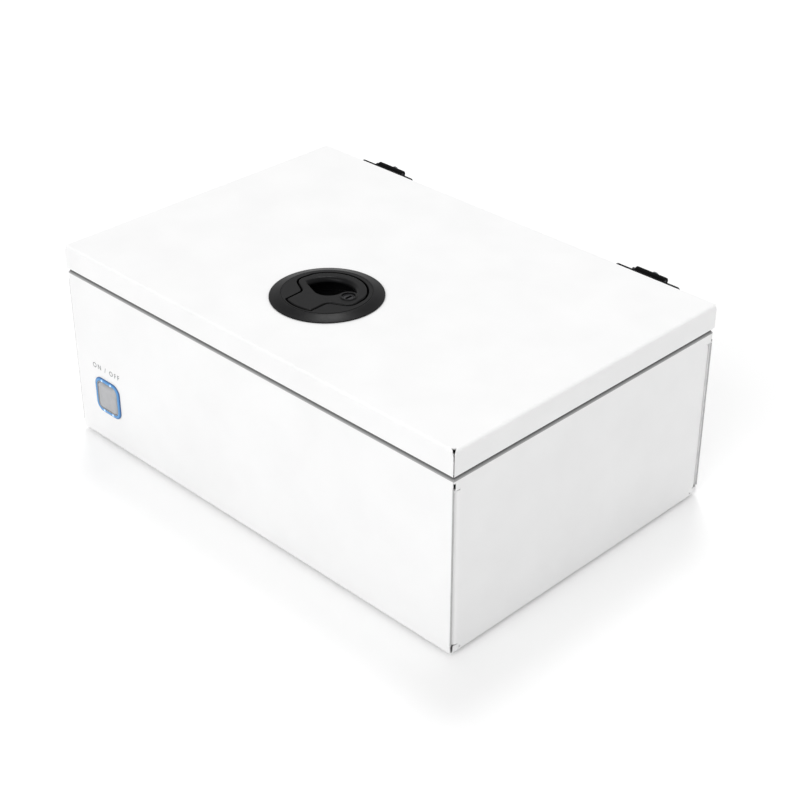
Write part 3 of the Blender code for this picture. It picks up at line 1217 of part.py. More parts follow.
def build_rotor(turn, black, dark, steel, zinc):
    """Turning disc with the handle's pocket, the shaft through it and the cam below."""
    low = -CUP_DEPTH + BEZEL_FLOOR + GAP
    disc = rod(ROTOR_RADIUS, low, BEZEL_RISE, ROUND)
    rounded(disc, ROTOR_EDGE, 2, on_level(BEZEL_RISE))
    pocket = prism(bell(GROOVE), POCKET_FLOOR, BEZEL_RISE + OVERRUN)
    hole = rod(SHAFT_RADIUS + GAP, low - OVERRUN, POCKET_FLOOR + OVERRUN, MEDIUM)
    place = (0, PIVOT_Y, PIVOT_Z - LID_TOP)
    pin_hole = rod(PIVOT_PIN + GAP, -PIVOT_PIN_HALF - GAP, PIVOT_PIN_HALF + GAP, SMALL)
    solid("latch_disc", disc, black, LATCH_HOME, turn,
          cuts=[pocket, hole, moved(pin_hole, place, (0, 90, 0))])
    pin = moved(rod(PIVOT_PIN, -PIVOT_PIN_HALF, PIVOT_PIN_HALF, SMALL), place, (0, 90, 0))
    solid("handle_pin", pin, dark, LATCH_HOME, turn)

    head = POCKET_FLOOR + GAP
    end = -CAM_DROP - CAM_THICKNESS - 2 * GAP - CAM_NUT_HEIGHT - SHAFT_TAIL
    profile = [(0, end), (SHAFT_THREAD_RADIUS, end), (SHAFT_THREAD_RADIUS, -SHAFT_SHOULDER),
               (SHAFT_RADIUS, -SHAFT_SHOULDER), (SHAFT_RADIUS, head), (SHAFT_HEAD_RADIUS, head),
               (SHAFT_HEAD_RADIUS, head + SHAFT_HEAD_HEIGHT / 2),
               (SHAFT_RADIUS, head + SHAFT_HEAD_HEIGHT), (0, head + SHAFT_HEAD_HEIGHT)]
    solid("latch_shaft", turned(profile, MEDIUM), steel, LATCH_HOME, turn)

    root = arc((0, 0), CAM_ROOT, 70, 290, 12)
    tip = arc((CAM_REACH - CAM_TIP, 0), CAM_TIP, -75, 75, 8)
    cam = prism(root + tip, -CAM_DROP - CAM_THICKNESS, -CAM_DROP)
    hole = rod(SHAFT_THREAD_RADIUS + GAP, -CAM_DROP - CAM_THICKNESS - OVERRUN, -CAM_DROP + OVERRUN, MEDIUM)
    solid("latch_cam", cam, zinc, LATCH_HOME, turn, cuts=[hole])
    places = (("upper", -CAM_DROP + GAP), ("lower", -CAM_DROP - CAM_THICKNESS - GAP - CAM_NUT_HEIGHT))
    for name, low in places:
        nut = rod(CAM_NUT, low, low + CAM_NUT_HEIGHT, NUT_SIDES)
        hole = rod(SHAFT_THREAD_RADIUS + GAP, low - OVERRUN, low + CAM_NUT_HEIGHT + OVERRUN, MEDIUM)
        solid(f"cam_nut_{name}", nut, zinc, LATCH_HOME, turn, cuts=[hole])


def build_handle(lift, key, black, dark):
    low = HANDLE_LOW
    plate = loft(rolled(bell, low, HANDLE_TOP, HANDLE_EDGE, 3, -1))
    opening = loft(rolled(finger_outline, low - OVERRUN, HANDLE_TOP, GRIP_ROLL, 4, 1)
                   + [(finger_outline(GRIP_ROLL), HANDLE_TOP + OVERRUN)])
    boss_low = low - LOCK_BELOW
    sleeve = LOCK_BODY + LOCK_WALL
    foot = HANDLE_TOP - GAP
    crest = HANDLE_TOP + LOCK_CREST_RISE
    flank = (LOCK_FOOT + LOCK_CREST) / 2
    boss = turned([(0, boss_low), (sleeve, boss_low), (sleeve, foot), (LOCK_FOOT, foot),
                   (flank, crest - LOCK_CREST_RISE / 5), (LOCK_CREST, crest),
                   (LOCK_CREST - GAP, crest), (LOCK_BODY + GAP, crest - LOCK_CREST_RISE / 3),
                   (0, crest - LOCK_CREST_RISE / 3)], MEDIUM)
    bore = rod(LOCK_BODY + GAP, boss_low - OVERRUN, HANDLE_TOP + OVERRUN, MEDIUM)
    spot = (LOCK_X, LOCK_Y, 0)
    place = (0, PIVOT_Y, PIVOT_Z - LID_TOP)
    pin_hole = moved(rod(PIVOT_PIN + GAP, -HANDLE_NECK * 2, HANDLE_NECK * 2, SMALL), place, (0, 90, 0))
    piece = solid("latch_handle", plate, black, LATCH_HOME, lift, cuts=[opening])
    tool(piece, moved(boss, spot), "UNION")
    tool(piece, moved(bore, spot), "DIFFERENCE")
    tool(piece, pin_hole, "DIFFERENCE")

    face = HANDLE_TOP - LOCK_CREST_RISE / 2
    inner = PLUG_RADIUS + GAP
    body = turned([(0, boss_low), (LOCK_BODY, boss_low), (LOCK_BODY, face - HANDLE_EDGE / 4),
                   (LOCK_BODY - HANDLE_EDGE / 4, face), (inner, face),
                   (inner, boss_low + LOCK_WALL), (0, boss_low + LOCK_WALL)], MEDIUM)
    solid("lock_body", moved(body, spot), dark, LATCH_HOME, lift)
    home = (LATCH_X + LOCK_X, LATCH_Y + LOCK_Y, LID_TOP)
    plug = rod(PLUG_RADIUS, boss_low + LOCK_WALL + GAP, face - HANDLE_EDGE / 4, MEDIUM)
    keyway = block((KEYWAY_WIDTH, KEYWAY_LENGTH, 2 * KEYWAY_DEPTH), (0, 0, face))
    solid("key_plug", plug, dark, home, key, cuts=[keyway])


def build():
    for item in list(bpy.data.objects):
        bpy.data.objects.remove(item, do_unlink=True)

    white = paint("powder_coated_steel", (0.86, 0.86, 0.86), 0.45)
    zinc = paint("zinc_plated_steel", (0.62, 0.63, 0.65), 0.35, 1.0)
    steel = paint("bright_steel", (0.66, 0.66, 0.67), 0.30, 1.0)
    dark = paint("blackened_steel", (0.060, 0.060, 0.063), 0.40, 1.0)
    black = paint("black_nylon", (0.030, 0.030, 0.032), 0.45)
    rubber = paint("black_rubber", (0.022, 0.022, 0.022), 0.80)
    foam = paint("seal_foam", (0.035, 0.035, 0.035), 0.95)
    blue = paint("blue_lens", (0.10, 0.38, 0.82), 0.18)
    silver = paint("silver_cap", (0.50, 0.50, 0.51), 0.40)
    green = paint("circuit_board", (0.02, 0.20, 0.08), 0.50)
    grey = paint("grey_plastic", (0.24, 0.25, 0.26), 0.55)
    ceramic = paint("ceramic", (0.80, 0.79, 0.75), 0.60)

    frame = axis_empty("case_frame", (0, 0, 0))
    lid = axis_empty("lid_axis", (0, HINGE_Y, HINGE_Z), frame)
    turn = axis_empty("latch_axis", LATCH_HOME, lid)
    lift = axis_empty("handle_axis", (LATCH_X, LATCH_Y + PIVOT_Y, PIVOT_Z), turn)
    key = axis_empty("key_axis", (LATCH_X + LOCK_X, LATCH_Y + LOCK_Y, LID_TOP), lift)
    press = axis_empty("button_axis", (BUTTON_X, FRONT_Y, BUTTON_Z), frame)
    spin = axis_empty("fan_axis", (FAN_X, DUCT_BACK, DUCT_Z), frame)

    build_case(frame, white)
    build_seal(frame, foam)
    build_feet(frame, rubber, zinc)
    build_partition(frame, white)
    build_keeper(frame, zinc)
    build_button(frame, press, blue, silver, black, zinc)
    build_inlet(frame, black, zinc)
    build_supply(frame, zinc)
    build_board(frame, green)
    build_duct(frame, grey, ceramic)
    build_fan(frame, spin, black)
    build_sensor(frame, lid, black, zinc)
    for side, x in zip(("left", "right"), HINGE_XS):
        build_hinge(side, x, frame, lid, black, dark, grey)
    build_lid(lid, white)
    build_bezel(lid, black, grey)
    build_rotor(turn, black, dark, steel, zinc)
    build_handle(lift, key, black, dark)

    bpy.context.view_layer.update()
    for empty in (lid, turn, lift, key, press, spin):
        place = empty.matrix_world.translation
        print(f"{empty.name}: {place.x:.5f} {place.y:.5f} {place.z:.5f}")


build()
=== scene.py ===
# %% [markdown]
# # A tabletop disinfection box
#
# A white powder-coated steel box with a flush black latch in its lid, two black hinges and a
# lit push button. The measured solids are loaded first. This lesson then gives them the things
# that a drawing leaves out: rounded edges, screws, a printed legend, and finishes that look like
# powder coat, moulded nylon, zinc and lit plastic. It also paints some light and shade: grey beads
# of painted shade in the case's corner joints, a lip of painted shade under the lid, and painted
# glints and shade on the button's ring.

# %% Load the measured solids
import json
import math

import bmesh
import bpy
from mathutils import Matrix, Vector


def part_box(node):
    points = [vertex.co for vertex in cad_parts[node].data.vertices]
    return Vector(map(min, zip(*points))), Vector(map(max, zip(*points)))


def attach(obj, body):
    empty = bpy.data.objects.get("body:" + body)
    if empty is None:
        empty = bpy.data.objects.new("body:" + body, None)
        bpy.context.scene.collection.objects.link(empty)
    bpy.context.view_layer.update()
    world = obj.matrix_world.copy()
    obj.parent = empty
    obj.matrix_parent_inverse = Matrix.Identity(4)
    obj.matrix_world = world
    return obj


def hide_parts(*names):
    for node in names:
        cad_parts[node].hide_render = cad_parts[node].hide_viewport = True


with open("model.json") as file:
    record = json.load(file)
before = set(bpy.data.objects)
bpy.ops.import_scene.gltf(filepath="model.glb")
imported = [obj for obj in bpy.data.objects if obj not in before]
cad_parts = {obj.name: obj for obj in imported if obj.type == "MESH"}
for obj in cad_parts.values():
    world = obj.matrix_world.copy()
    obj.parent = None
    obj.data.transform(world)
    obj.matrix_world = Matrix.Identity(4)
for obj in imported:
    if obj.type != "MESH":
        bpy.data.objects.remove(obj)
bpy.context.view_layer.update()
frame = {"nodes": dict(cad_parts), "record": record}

# %% [markdown]
# The photograph was taken from the front right, about 31 degrees above the box, with a long
# lens. A camera is a lens, a place and a direction. The direction is given as a turn about the
# upright axis and a tilt, because those are the two angles that a photographer sets.

# %% Camera
VIEW_TURN = 44.962        # degrees from straight in front, towards the right
VIEW_TILT = 31.394        # degrees above the horizon
EYE = (1.19079, -1.16700, 1.09542)
LENS_MM = 77.45
SENSOR_MM = 36
NEAREST = 0.01            # nothing nearer than this is drawn

camera = bpy.data.objects.new("photo_camera", bpy.data.cameras.new("photo_camera"))
bpy.context.scene.collection.objects.link(camera)
camera.location = EYE
camera.rotation_euler = (math.radians(90 - VIEW_TILT), 0, math.radians(VIEW_TURN))
camera.data.lens = LENS_MM
camera.data.sensor_width = SENSOR_MM
camera.data.clip_start = NEAREST
bpy.context.scene.camera = camera
bpy.context.scene.view_settings.view_transform = "Standard"
print("camera", camera.location)

# %% [markdown]
# A finish in Blender is a small network of nodes. One function adds a node, gives it its
# settings and values, and links its inputs, so that each finish below reads like a recipe.
# Colours are written as they look on a screen, in hex, and turned into light values by one
# function.

# %% Helpers for finishes
def linear(hex_colour):
    """Turn a screen colour such as F2F2F0 into the light values that the shader works with."""
    values = [int(hex_colour[i:i + 2], 16) / 255 for i in (0, 2, 4)]
    values = [v / 12.92 if v <= 0.04045 else ((v + 0.055) / 1.055) ** 2.4 for v in values]
    return (*values, 1.0)


def add_node(tree, kind, settings=None, values=None, links=None):
    """Add a node: settings are its own options, values fill its inputs, links feed them."""
    node = tree.nodes.new(kind)
    for key, value in (settings or {}).items():
        setattr(node, key, value)
    for key, value in (values or {}).items():
        node.inputs[key].default_value = value
    for key, socket in (links or {}).items():
        tree.links.new(socket, node.inputs[key])
    return node


def new_finish(name, **uniform):
    """Start a finish with its even values: gives material, tree, shader and coordinates."""
    material = bpy.data.materials.new(name)
    material.use_nodes = True
    tree = material.node_tree
    shader = tree.nodes["Principled BSDF"]
    for key, value in uniform.items():
        shader.inputs[key.replace("_", " ")].default_value = value
    place = add_node(tree, "ShaderNodeTexCoord").outputs["Object"]
    return material, tree, shader, place


def skin(tree, shader, factor, tints, height=None, depth_mm=0.0):
    """Blend two screen colours by a pattern, over fine hills that follow another."""
    blend = add_node(tree, "ShaderNodeMix", settings={"data_type": "RGBA"}, links={0: factor},
                     values={6: linear(tints[0]), 7: linear(tints[1])})
    tree.links.new(blend.outputs[2], shader.inputs["Base Color"])
    if height is not None:
        hills = add_node(tree, "ShaderNodeBump", links={"Height": height},
                         values={"Distance": depth_mm / 1000, "Strength": 1.0})
        tree.links.new(hills.outputs["Normal"], shader.inputs["Normal"])


print("helpers ready")

# %% [markdown]
# Most finishes are made alike: two near tints and two values of gloss that change in soft,
# cloudy patches, and a fine grain. A noise pattern stays near its middle, so each one is
# stretched over the range that it has to fill. All sizes are in millimetres.

# %% Patchy finishes
CLOUD_LOW, CLOUD_HIGH = 0.3, 0.7      # where nearly all values of a noise pattern lie


def patchy(name, tints, rough, grain_mm, depth_mm, tint_mm=10, rough_mm=6, **uniform):
    """A finish whose tint and gloss change in patches of the given sizes, over a fine grain."""
    material, tree, shader, place = new_finish(name, **uniform)
    clouds = [add_node(tree, "ShaderNodeTexNoise", links={"Vector": place},
                       values={"Scale": 1000 / size_mm, "Detail": 2.0}).outputs["Fac"]
              for size_mm in (tint_mm, rough_mm, grain_mm)]
    blend, gloss = [add_node(tree, "ShaderNodeMapRange", links={"Value": cloud},
                             values={"From Min": CLOUD_LOW, "From Max": CLOUD_HIGH,
                                     "To Min": low, "To Max": high}).outputs["Result"]
                    for cloud, (low, high) in zip(clouds, ((0, 1), rough))]
    skin(tree, shader, blend, tints, clouds[-1], depth_mm)
    tree.links.new(gloss, shader.inputs["Roughness"])
    print(name)
    return material


# %% [markdown]
# Powder coat is paint that is baked from dry powder on steel. It flows into a satin skin with
# fine orange peel, hills about half a millimetre wide. Those are too fine to show from two
# metres away, so they are drawn 2 mm wide here, and a slower pattern varies the gloss.

# %% Powder coat
powder_coat = patchy("powder_coated_steel", ("F0F0F0", "F3F3F3"), (0.38, 0.47), grain_mm=2.0,
                     depth_mm=0.03, tint_mm=60, rough_mm=25)

# %% [markdown]
# The latch is moulded in glass-filled nylon. The mould is spark-eroded, which leaves an even
# grain of about 0.3 mm that scatters the light, so black nylon looks charcoal grey under a soft
# lamp. The grain is drawn 0.8 mm wide so that it shows.

# %% Black moulded nylon
black_nylon = patchy("black_moulded_nylon", ("101011", "141415"), (0.29, 0.34), grain_mm=0.8,
                     depth_mm=0.02, tint_mm=9, rough_mm=14, Specular_IOR_Level=0.11)

# %% [markdown]
# Zinc plating is a thin electroplated skin on steel with a faint blue and straw tint. Bright
# steel is the bare ground metal. Both keep a metal's default IOR; their colour is the colour
# of their reflections. The lock and the pins are blackened, a dark conversion coat on steel.

# %% Metals
METAL_GRAIN_MM, METAL_DEPTH_MM = 0.7, 0.01


def metal(name, tints, rough, patch_mm):
    """A metal whose gloss changes in patches a third as wide as those of its tint."""
    return patchy(name, tints, rough, METAL_GRAIN_MM, METAL_DEPTH_MM, patch_mm, patch_mm / 3,
                  Metallic=1.0)


zinc = metal("zinc_plated_steel", ("C4CAD0", "CFCBBE"), (0.26, 0.40), patch_mm=12)
bright_steel = metal("ground_steel", ("B4B5B7", "C2C2C2"), (0.22, 0.32), patch_mm=6)
black_steel = metal("blackened_steel", ("3C3C3E", "4A4A4C"), (0.34, 0.46), patch_mm=5)

# %% [markdown]
# Rubber feet are moulded and matt. The seal is closed-cell foam: its cut surface is a mass of
# small open bubbles, which a Voronoi pattern gives. The seal's lip is grey, with painted shade:
# dark at its top under the lid's edge, fading to pale grey towards its lower edge.

# %% Rubber, foam and the lip's painted shade
CASE_LOW, CASE_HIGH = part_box("body_shell")
# Heights over the case's top where the lip's painted shade is darkest and where it has faded.
LIP_SHADE_DARKEST, LIP_SHADE_FADED = 0.0005, -0.0024      # heights over the case's top
BUBBLE_MM = 0.7
RUBBER_PATCH_MM = 4
SOFT_GRAIN_MM = 0.6


def soft_grain(tree, place):
    """The fine grain of moulded rubber and silicone."""
    return add_node(tree, "ShaderNodeTexNoise", links={"Vector": place},
                    values={"Scale": 1000 / SOFT_GRAIN_MM, "Detail": 2.0}).outputs["Fac"]


rubber, tree, shader, place = new_finish("moulded_rubber", Roughness=0.78)
cloud = add_node(tree, "ShaderNodeTexNoise", links={"Vector": place},
                 values={"Scale": 1000 / RUBBER_PATCH_MM, "Detail": 2.0})
blend = add_node(tree, "ShaderNodeMapRange", links={"Value": cloud.outputs["Fac"]},
                 values={"From Min": CLOUD_LOW, "From Max": CLOUD_HIGH})
skin(tree, shader, blend.outputs["Result"], ("171717", "1F1F1F"), soft_grain(tree, place), 0.05)

seal_foam, tree, shader, place = new_finish("closed_cell_foam", Roughness=0.92)
bubbles = add_node(tree, "ShaderNodeTexVoronoi", values={"Scale": 1000 / BUBBLE_MM},
                   links={"Vector": place}).outputs["Distance"]
skin(tree, shader, bubbles, ("1A1A1A", "303030"), bubbles, 0.2)

# The lip is painted with shade: dark grey at its top, under the lid, fading to pale grey lower down.
painted_shade_lip, tree, shader, place = new_finish("grey_lip_with_painted_shade", Roughness=0.70)
height = add_node(tree, "ShaderNodeSeparateXYZ", links={0: place}).outputs["Z"]
shade_fade = add_node(tree, "ShaderNodeMapRange", links={"Value": height},
                   values={"From Min": CASE_HIGH.z + LIP_SHADE_DARKEST, "From Max": CASE_HIGH.z + LIP_SHADE_FADED})
skin(tree, shader, shade_fade.outputs["Result"], ("585858", "B4B4B4"), soft_grain(tree, place), 0.03)
print(rubber.name, seal_foam.name, painted_shade_lip.name)

# %% [markdown]
# The button's ring is a moulded acrylic light guide, tinted blue, with a faint glow of its own.
# Its colour has painted light and shade: pale on its bead and deep blue at its foot, read from how
# far a point is from the wall. Four white spots that glow, two on its upper side and two on its
# lower side, are painted glints, read from how far a point is from each spot's middle.

# %% Lit blue ring with painted glints and shade
RING_LOW, RING_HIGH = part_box("button_ring")
BUTTON_CENTRE = (RING_LOW + RING_HIGH) / 2
RING_SPAN = RING_HIGH.x - RING_LOW.x
WALL_Y = CASE_LOW.y
# Painted light and shade: the ring's colour runs from deep blue at its foot to pale blue on its bead.
DEEP_BLUE, PALE_BLUE = 0.0006, 0.0019     # distances in front of the wall
# The four points below are the middles of painted glints, not of lamps; the spread is how far one
# reaches.
GLINT_X = 0.0080           # lamps left and right of the middle
GLINT_Z = RING_SPAN / 2 - 0.0030           # and above and below it, under the ring's bead
GLINT_SPREAD = 0.0028      # how far a lamp's bright spot reaches
GLOW, GLINT_GLOW = 0.02, 1.0

ring_glints_and_shade, tree, shader, place = new_finish("lit_blue_acrylic_with_painted_glints", Roughness=0.14)
depth = add_node(tree, "ShaderNodeSeparateXYZ", links={0: place}).outputs["Y"]
rise = add_node(tree, "ShaderNodeMapRange", links={"Value": depth},
                values={"From Min": WALL_Y - DEEP_BLUE, "From Max": WALL_Y - PALE_BLUE})
skin(tree, shader, rise.outputs["Result"], ("153F78", "5E9AD2"))
# Four painted glints: white spots that glow; lamp here is the middle of a painted glint.
painted_glints = None
for side in (-1, 1):
    for level in (-1, 1):
        lamp = (BUTTON_CENTRE.x + side * GLINT_X, RING_LOW.y, BUTTON_CENTRE.z + level * GLINT_Z)
        reach = add_node(tree, "ShaderNodeVectorMath", settings={"operation": "DISTANCE"},
                         values={1: lamp}, links={0: place})
        one_glint = add_node(tree, "ShaderNodeMapRange", links={"Value": reach.outputs["Value"]},
                        values={"From Min": 0, "From Max": GLINT_SPREAD, "To Min": 1, "To Max": 0})
        brightest = add_node(tree, "ShaderNodeMath", settings={"operation": "MAXIMUM"},
                             values={1: 0.0}, links={0: one_glint.outputs["Result"]})
        if painted_glints is not None:
            tree.links.new(painted_glints, brightest.inputs[1])
        painted_glints = brightest.outputs[0]
light = add_node(tree, "ShaderNodeMix", settings={"data_type": "RGBA"}, links={0: painted_glints},
                 values={6: linear("3F8FDC"), 7: linear("FFFFFF")})
tree.links.new(light.outputs[2], shader.inputs["Emission Color"])
glow = add_node(tree, "ShaderNodeMapRange", links={"Value": painted_glints},
                values={"To Min": GLOW, "To Max": GLINT_GLOW})
tree.links.new(glow.outputs["Result"], shader.inputs["Emission Strength"])
print(ring_glints_and_shade.name, "lamps at", round(GLINT_X * 1000, 1), "mm")

# %% [markdown]
# The cap of the button is silver-painted ABS, satin, and the socket round it is grey ABS. The
# inlet's flange, the duct and the nut are moulded plastics too. The hinges are castings with a
# flat black paint. The ozone cell is a plate of fired alumina, slightly ivory, and the board has
# a green solder mask. The legend is screen ink, and a grey finish is painted shade in the joints.

# %% Other plastics, paint, ceramic, board, ink and painted joint shade
silver_cap = patchy("silver_painted_abs", ("AEAFB1", "B8B9BB"), (0.32, 0.40), grain_mm=0.6,
                    depth_mm=0.01, Metallic=0.35)
grey_abs = patchy("grey_moulded_abs", ("85888B", "8E9194"), (0.46, 0.54), grain_mm=0.8, depth_mm=0.03)
socket_grey = patchy("grey_socket_abs", ("9A9B9D", "A6A7A9"), (0.41, 0.49), grain_mm=0.6, depth_mm=0.02)
alumina = patchy("fired_alumina", ("E4E1D8", "EEEBE3"), (0.58, 0.66), grain_mm=0.5, depth_mm=0.02)
board_green = patchy("green_solder_mask", ("0C5A2C", "137038"), (0.30, 0.38), grain_mm=1.2, depth_mm=0.02)
legend_ink = patchy("grey_screen_ink", ("7C7D7F", "8A8B8D"), (0.51, 0.59), grain_mm=0.5, depth_mm=0.005)
hinge_black = patchy("black_painted_casting", ("060607", "0B0B0C"), (0.51, 0.59), grain_mm=0.9,
                     depth_mm=0.02, Specular_IOR_Level=0.05)
# A grey finish painted into the corner joints as shade.
joint_shade_grey = patchy("grey_joint_painted_shade", ("ACACAC", "B8B8B8"), (0.56, 0.64), grain_mm=1.5, depth_mm=0.05)

# %% [markdown]
# The record names a slot for every solid, and each slot has a finish here. A few solids differ
# from their slot's finish: the painted hinges, the grey socket, and the latch's shaft, whose end
# shows at the bottom of the pocket and is blackened.

# %% Which finish goes where
FINISHES = {
    "case_paint": powder_coat, "zinc": zinc, "steel": bright_steel, "black_steel": black_steel,
    "black_nylon": black_nylon, "rubber": rubber, "seal_foam": seal_foam, "blue_lens": ring_glints_and_shade,
    "silver_cap": silver_cap, "circuit_board": board_green, "grey_plastic": grey_abs,
    "ceramic": alumina,
}
OWN_FINISHES = {"hinge_leaf": hinge_black, "hinge_bracket": hinge_black, "latch_shaft": black_steel,
                "button_socket": socket_grey}
print("slots:", len(FINISHES), "own finishes:", len(OWN_FINISHES))

# %% [markdown]
# The solids come as loose triangles with hard edges. No real edge is perfectly sharp: a sheet
# has a small radius and a moulding has a bigger one, and that is where light catches. Each
# solid is copied, its triangles are merged and joined into whole faces, and a Bevel modifier
# rounds the edges. A Weighted Normal modifier keeps the flat faces flat beside them.

# %% Rounded copies of the solids
MERGE = 0.000002
FLAT_ANGLE = 0.3          # degrees between two faces that are really one
HARD_ANGLE = 38.0         # degrees from which an edge gets rounded
EDGE_MM = {"case_paint": 0.30, "zinc": 0.20, "steel": 0.15, "black_steel": 0.15,
           "black_nylon": 0.30, "rubber": 0.40, "seal_foam": 0.40, "blue_lens": 0.20,
           "silver_cap": 0.20, "circuit_board": 0.10, "grey_plastic": 0.30, "ceramic": 0.15}
OWN_EDGE_MM = {"latch_handle": 0.80}

bodies = frame["record"]["behaviour"]["bodies"]
body_of = {node: body for body, nodes in bodies.items() for node in nodes}
slot_of = {part["node"]: part["material_slot"] for part in frame["record"]["subparts"]}


def piece_from(mesh, name, finish, body, stands_for=None):
    """Turn a bmesh into a finished object that rides on a body and may stand for a solid."""
    data = bpy.data.meshes.new(name)
    mesh.to_mesh(data)
    mesh.free()
    if "custom_normal" in data.attributes:
        data.attributes.remove(data.attributes["custom_normal"])
    data.shade_smooth()
    data.set_sharp_from_angle(angle=math.radians(HARD_ANGLE))
    data.materials.clear()
    data.materials.append(finish)
    piece = bpy.data.objects.new(name, data)
    bpy.context.scene.collection.objects.link(piece)
    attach(piece, body)
    if stands_for:
        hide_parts(stands_for)
    return piece


def rounded_edges(piece, width):
    """Round the hard edges of a piece and keep its flat faces flat."""
    bevel = piece.modifiers.new("rounded_edges", "BEVEL")
    bevel.width = width
    bevel.segments = 2
    bevel.limit_method = "ANGLE"
    bevel.angle_limit = math.radians(HARD_ANGLE)
    flat = piece.modifiers.new("flat_faces", "WEIGHTED_NORMAL")
    flat.keep_sharp = True


def softened(node):
    """A copy of a solid with rounded edges, standing for it."""
    mesh = bmesh.new()
    mesh.from_mesh(frame["nodes"][node].data)
    bmesh.ops.remove_doubles(mesh, verts=mesh.verts, dist=MERGE)
    bmesh.ops.dissolve_limit(mesh, angle_limit=math.radians(FLAT_ANGLE), verts=mesh.verts,
                             edges=mesh.edges, use_dissolve_boundaries=False, delimit=set())
    slot = slot_of[node]
    own = [finish for name, finish in OWN_FINISHES.items() if node.startswith(name)]
    finish = own[0] if own else FINISHES[slot]
    piece = piece_from(mesh, node + "_finished", finish, body_of[node], stands_for=node)
    rounded_edges(piece, OWN_EDGE_MM.get(node, EDGE_MM[slot]) / 1000)
    return piece


REMADE = {"latch_bezel", "button_ring", "button_cap"}      # made finer in the cells below
copies = {node: softened(node) for node in sorted(set(frame["nodes"]) - REMADE)}
print("rounded copies:", len(copies))

# %% [markdown]
# Three bends meet in every corner of the lid: the top's two edges and the joint between them.
# Sheet can't be folded in two ways at once, so the blank has a small three-sided hole there. It
# is cut out of the lid's copy with a Boolean modifier before the edges are rounded. The modifier
# is applied at once, so that no cutter stays behind. The photograph shows one such hole, at the
# near corner. It hardly shows the other corners, so they keep the small notch of the solid.

# %% Corner hole in the lid
HOLE_TIP_MM, HOLE_BASE_MM = -0.4, 6.8     # how far behind the corner the hole starts and ends
HOLE_HALF_MM = 2.7        # half its width, at its base
HOLE_DEEP_MM = 3.4


def worked_out(piece):
    """The mesh of a piece as its modifiers, or its text, give it."""
    depsgraph = bpy.context.evaluated_depsgraph_get()
    return bpy.data.meshes.new_from_object(piece.evaluated_get(depsgraph))


def cut_out(piece, mesh):
    """Take a closed cutter's volume out of a piece."""
    cutter = bpy.data.objects.new("cutter", bpy.data.meshes.new("cutter"))
    mesh.to_mesh(cutter.data)
    mesh.free()
    bpy.context.scene.collection.objects.link(cutter)
    for modifier in piece.modifiers:
        modifier.show_viewport = False
    cut = piece.modifiers.new("cut", "BOOLEAN")
    cut.operation, cut.solver, cut.object = "DIFFERENCE", "EXACT", cutter
    bpy.context.view_layer.update()
    piece.data = worked_out(piece)
    piece.modifiers.remove(cut)
    for modifier in piece.modifiers:
        modifier.show_viewport = True
    bpy.data.objects.remove(cutter)


lid_low, lid_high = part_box("lid_shell")
triangle_long = (HOLE_BASE_MM - HOLE_TIP_MM) / 1.5      # a three-sided circle of radius 1 is 1.5 long
triangle_wide = HOLE_HALF_MM / (math.sqrt(3) / 2)       # and the root of 3 wide
towards_corner = (Matrix.Translation((lid_high.x, lid_low.y, lid_high.z))
                  @ Matrix.Rotation(math.radians(-135), 4, "Z"))
back = -(HOLE_TIP_MM + triangle_long) / 1000
size = (triangle_wide / 1000, triangle_long / 1000, 2 * HOLE_DEEP_MM / 1000, 1)
cutter_mesh = bmesh.new()
bmesh.ops.create_cone(cutter_mesh, cap_ends=True, segments=3, radius1=1, radius2=1, depth=1,
                      matrix=towards_corner @ Matrix.Translation((0, back, 0)) @ Matrix.Diagonal(size))
cut_out(copies["lid_shell"], cutter_mesh)
print("faces of the lid:", len(copies["lid_shell"].data.polygons))

# %% [markdown]
# The latch sits in a turned bezel: a thin rim on the lid, a shallow cone and a bore for the
# turning disc. A turned part is a profile spun around its axis. The solid has 64 sides; here
# the same profile gets 160 sides and small radii, so that its highlights run round smoothly.

# %% Latch bezel
BEZEL_SIDES = 160


def spun(mesh, profile, centre, steps):
    """Spin a closed profile of (radius, height) points in millimetres around an upright axis."""
    verts = [mesh.verts.new((centre.x + radius / 1000, centre.y, centre.z + height / 1000))
             for radius, height in profile]
    edges = [mesh.edges.new(pair) for pair in zip(verts, verts[1:] + verts[:1])]
    bmesh.ops.spin(mesh, geom=verts + edges, cent=centre, axis=(0, 0, 1), dvec=(0, 0, 0),
                   angle=2 * math.pi, steps=steps, use_merge=True, use_duplicate=False)
    bmesh.ops.remove_doubles(mesh, verts=mesh.verts, dist=MERGE)
    bmesh.ops.recalc_face_normals(mesh, faces=mesh.faces)


bezel_low, bezel_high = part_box("latch_bezel")
latch_centre = (bezel_low + bezel_high) / 2
latch_centre.z = lid_high.z
BEZEL_PROFILE = [(7.9, -24.0), (52.0, -24.0), (52.0, 0.3), (61.35, 0.3), (61.6, 0.4), (61.7, 0.65),
                 (61.7, 1.25), (61.6, 1.5), (61.3, 1.63), (60.7, 1.72), (56.6, 2.95), (52.6, 4.14),
                 (50.2, 4.84), (49.7, 4.94), (49.2, 4.92), (48.92, 4.84), (48.82, 4.7),
                 (48.82, 2.2), (49.0, 1.7), (49.0, -21.0), (7.9, -21.0)]
mesh = bmesh.new()
spun(mesh, BEZEL_PROFILE, latch_centre, BEZEL_SIDES)
piece_from(mesh, "latch_bezel_finished", black_nylon, "lid", stands_for="latch_bezel")
print("bezel", round((bezel_high.x - bezel_low.x) * 1000, 1), "mm across")

# %% [markdown]
# The button has three moulded parts that stack like frames: a clear ring with a rounded bead, a
# grey socket, and a silver cap with a soft border and a shallow dish for the finger. Ring and cap
# are stacks of rounded squares. One function makes such an outline by rounding the corners of a
# plain one, and another bridges each outline to the next. Two neighbours never have the same
# height, because bridging can't tell which way round flat pairs go and would close the middle.

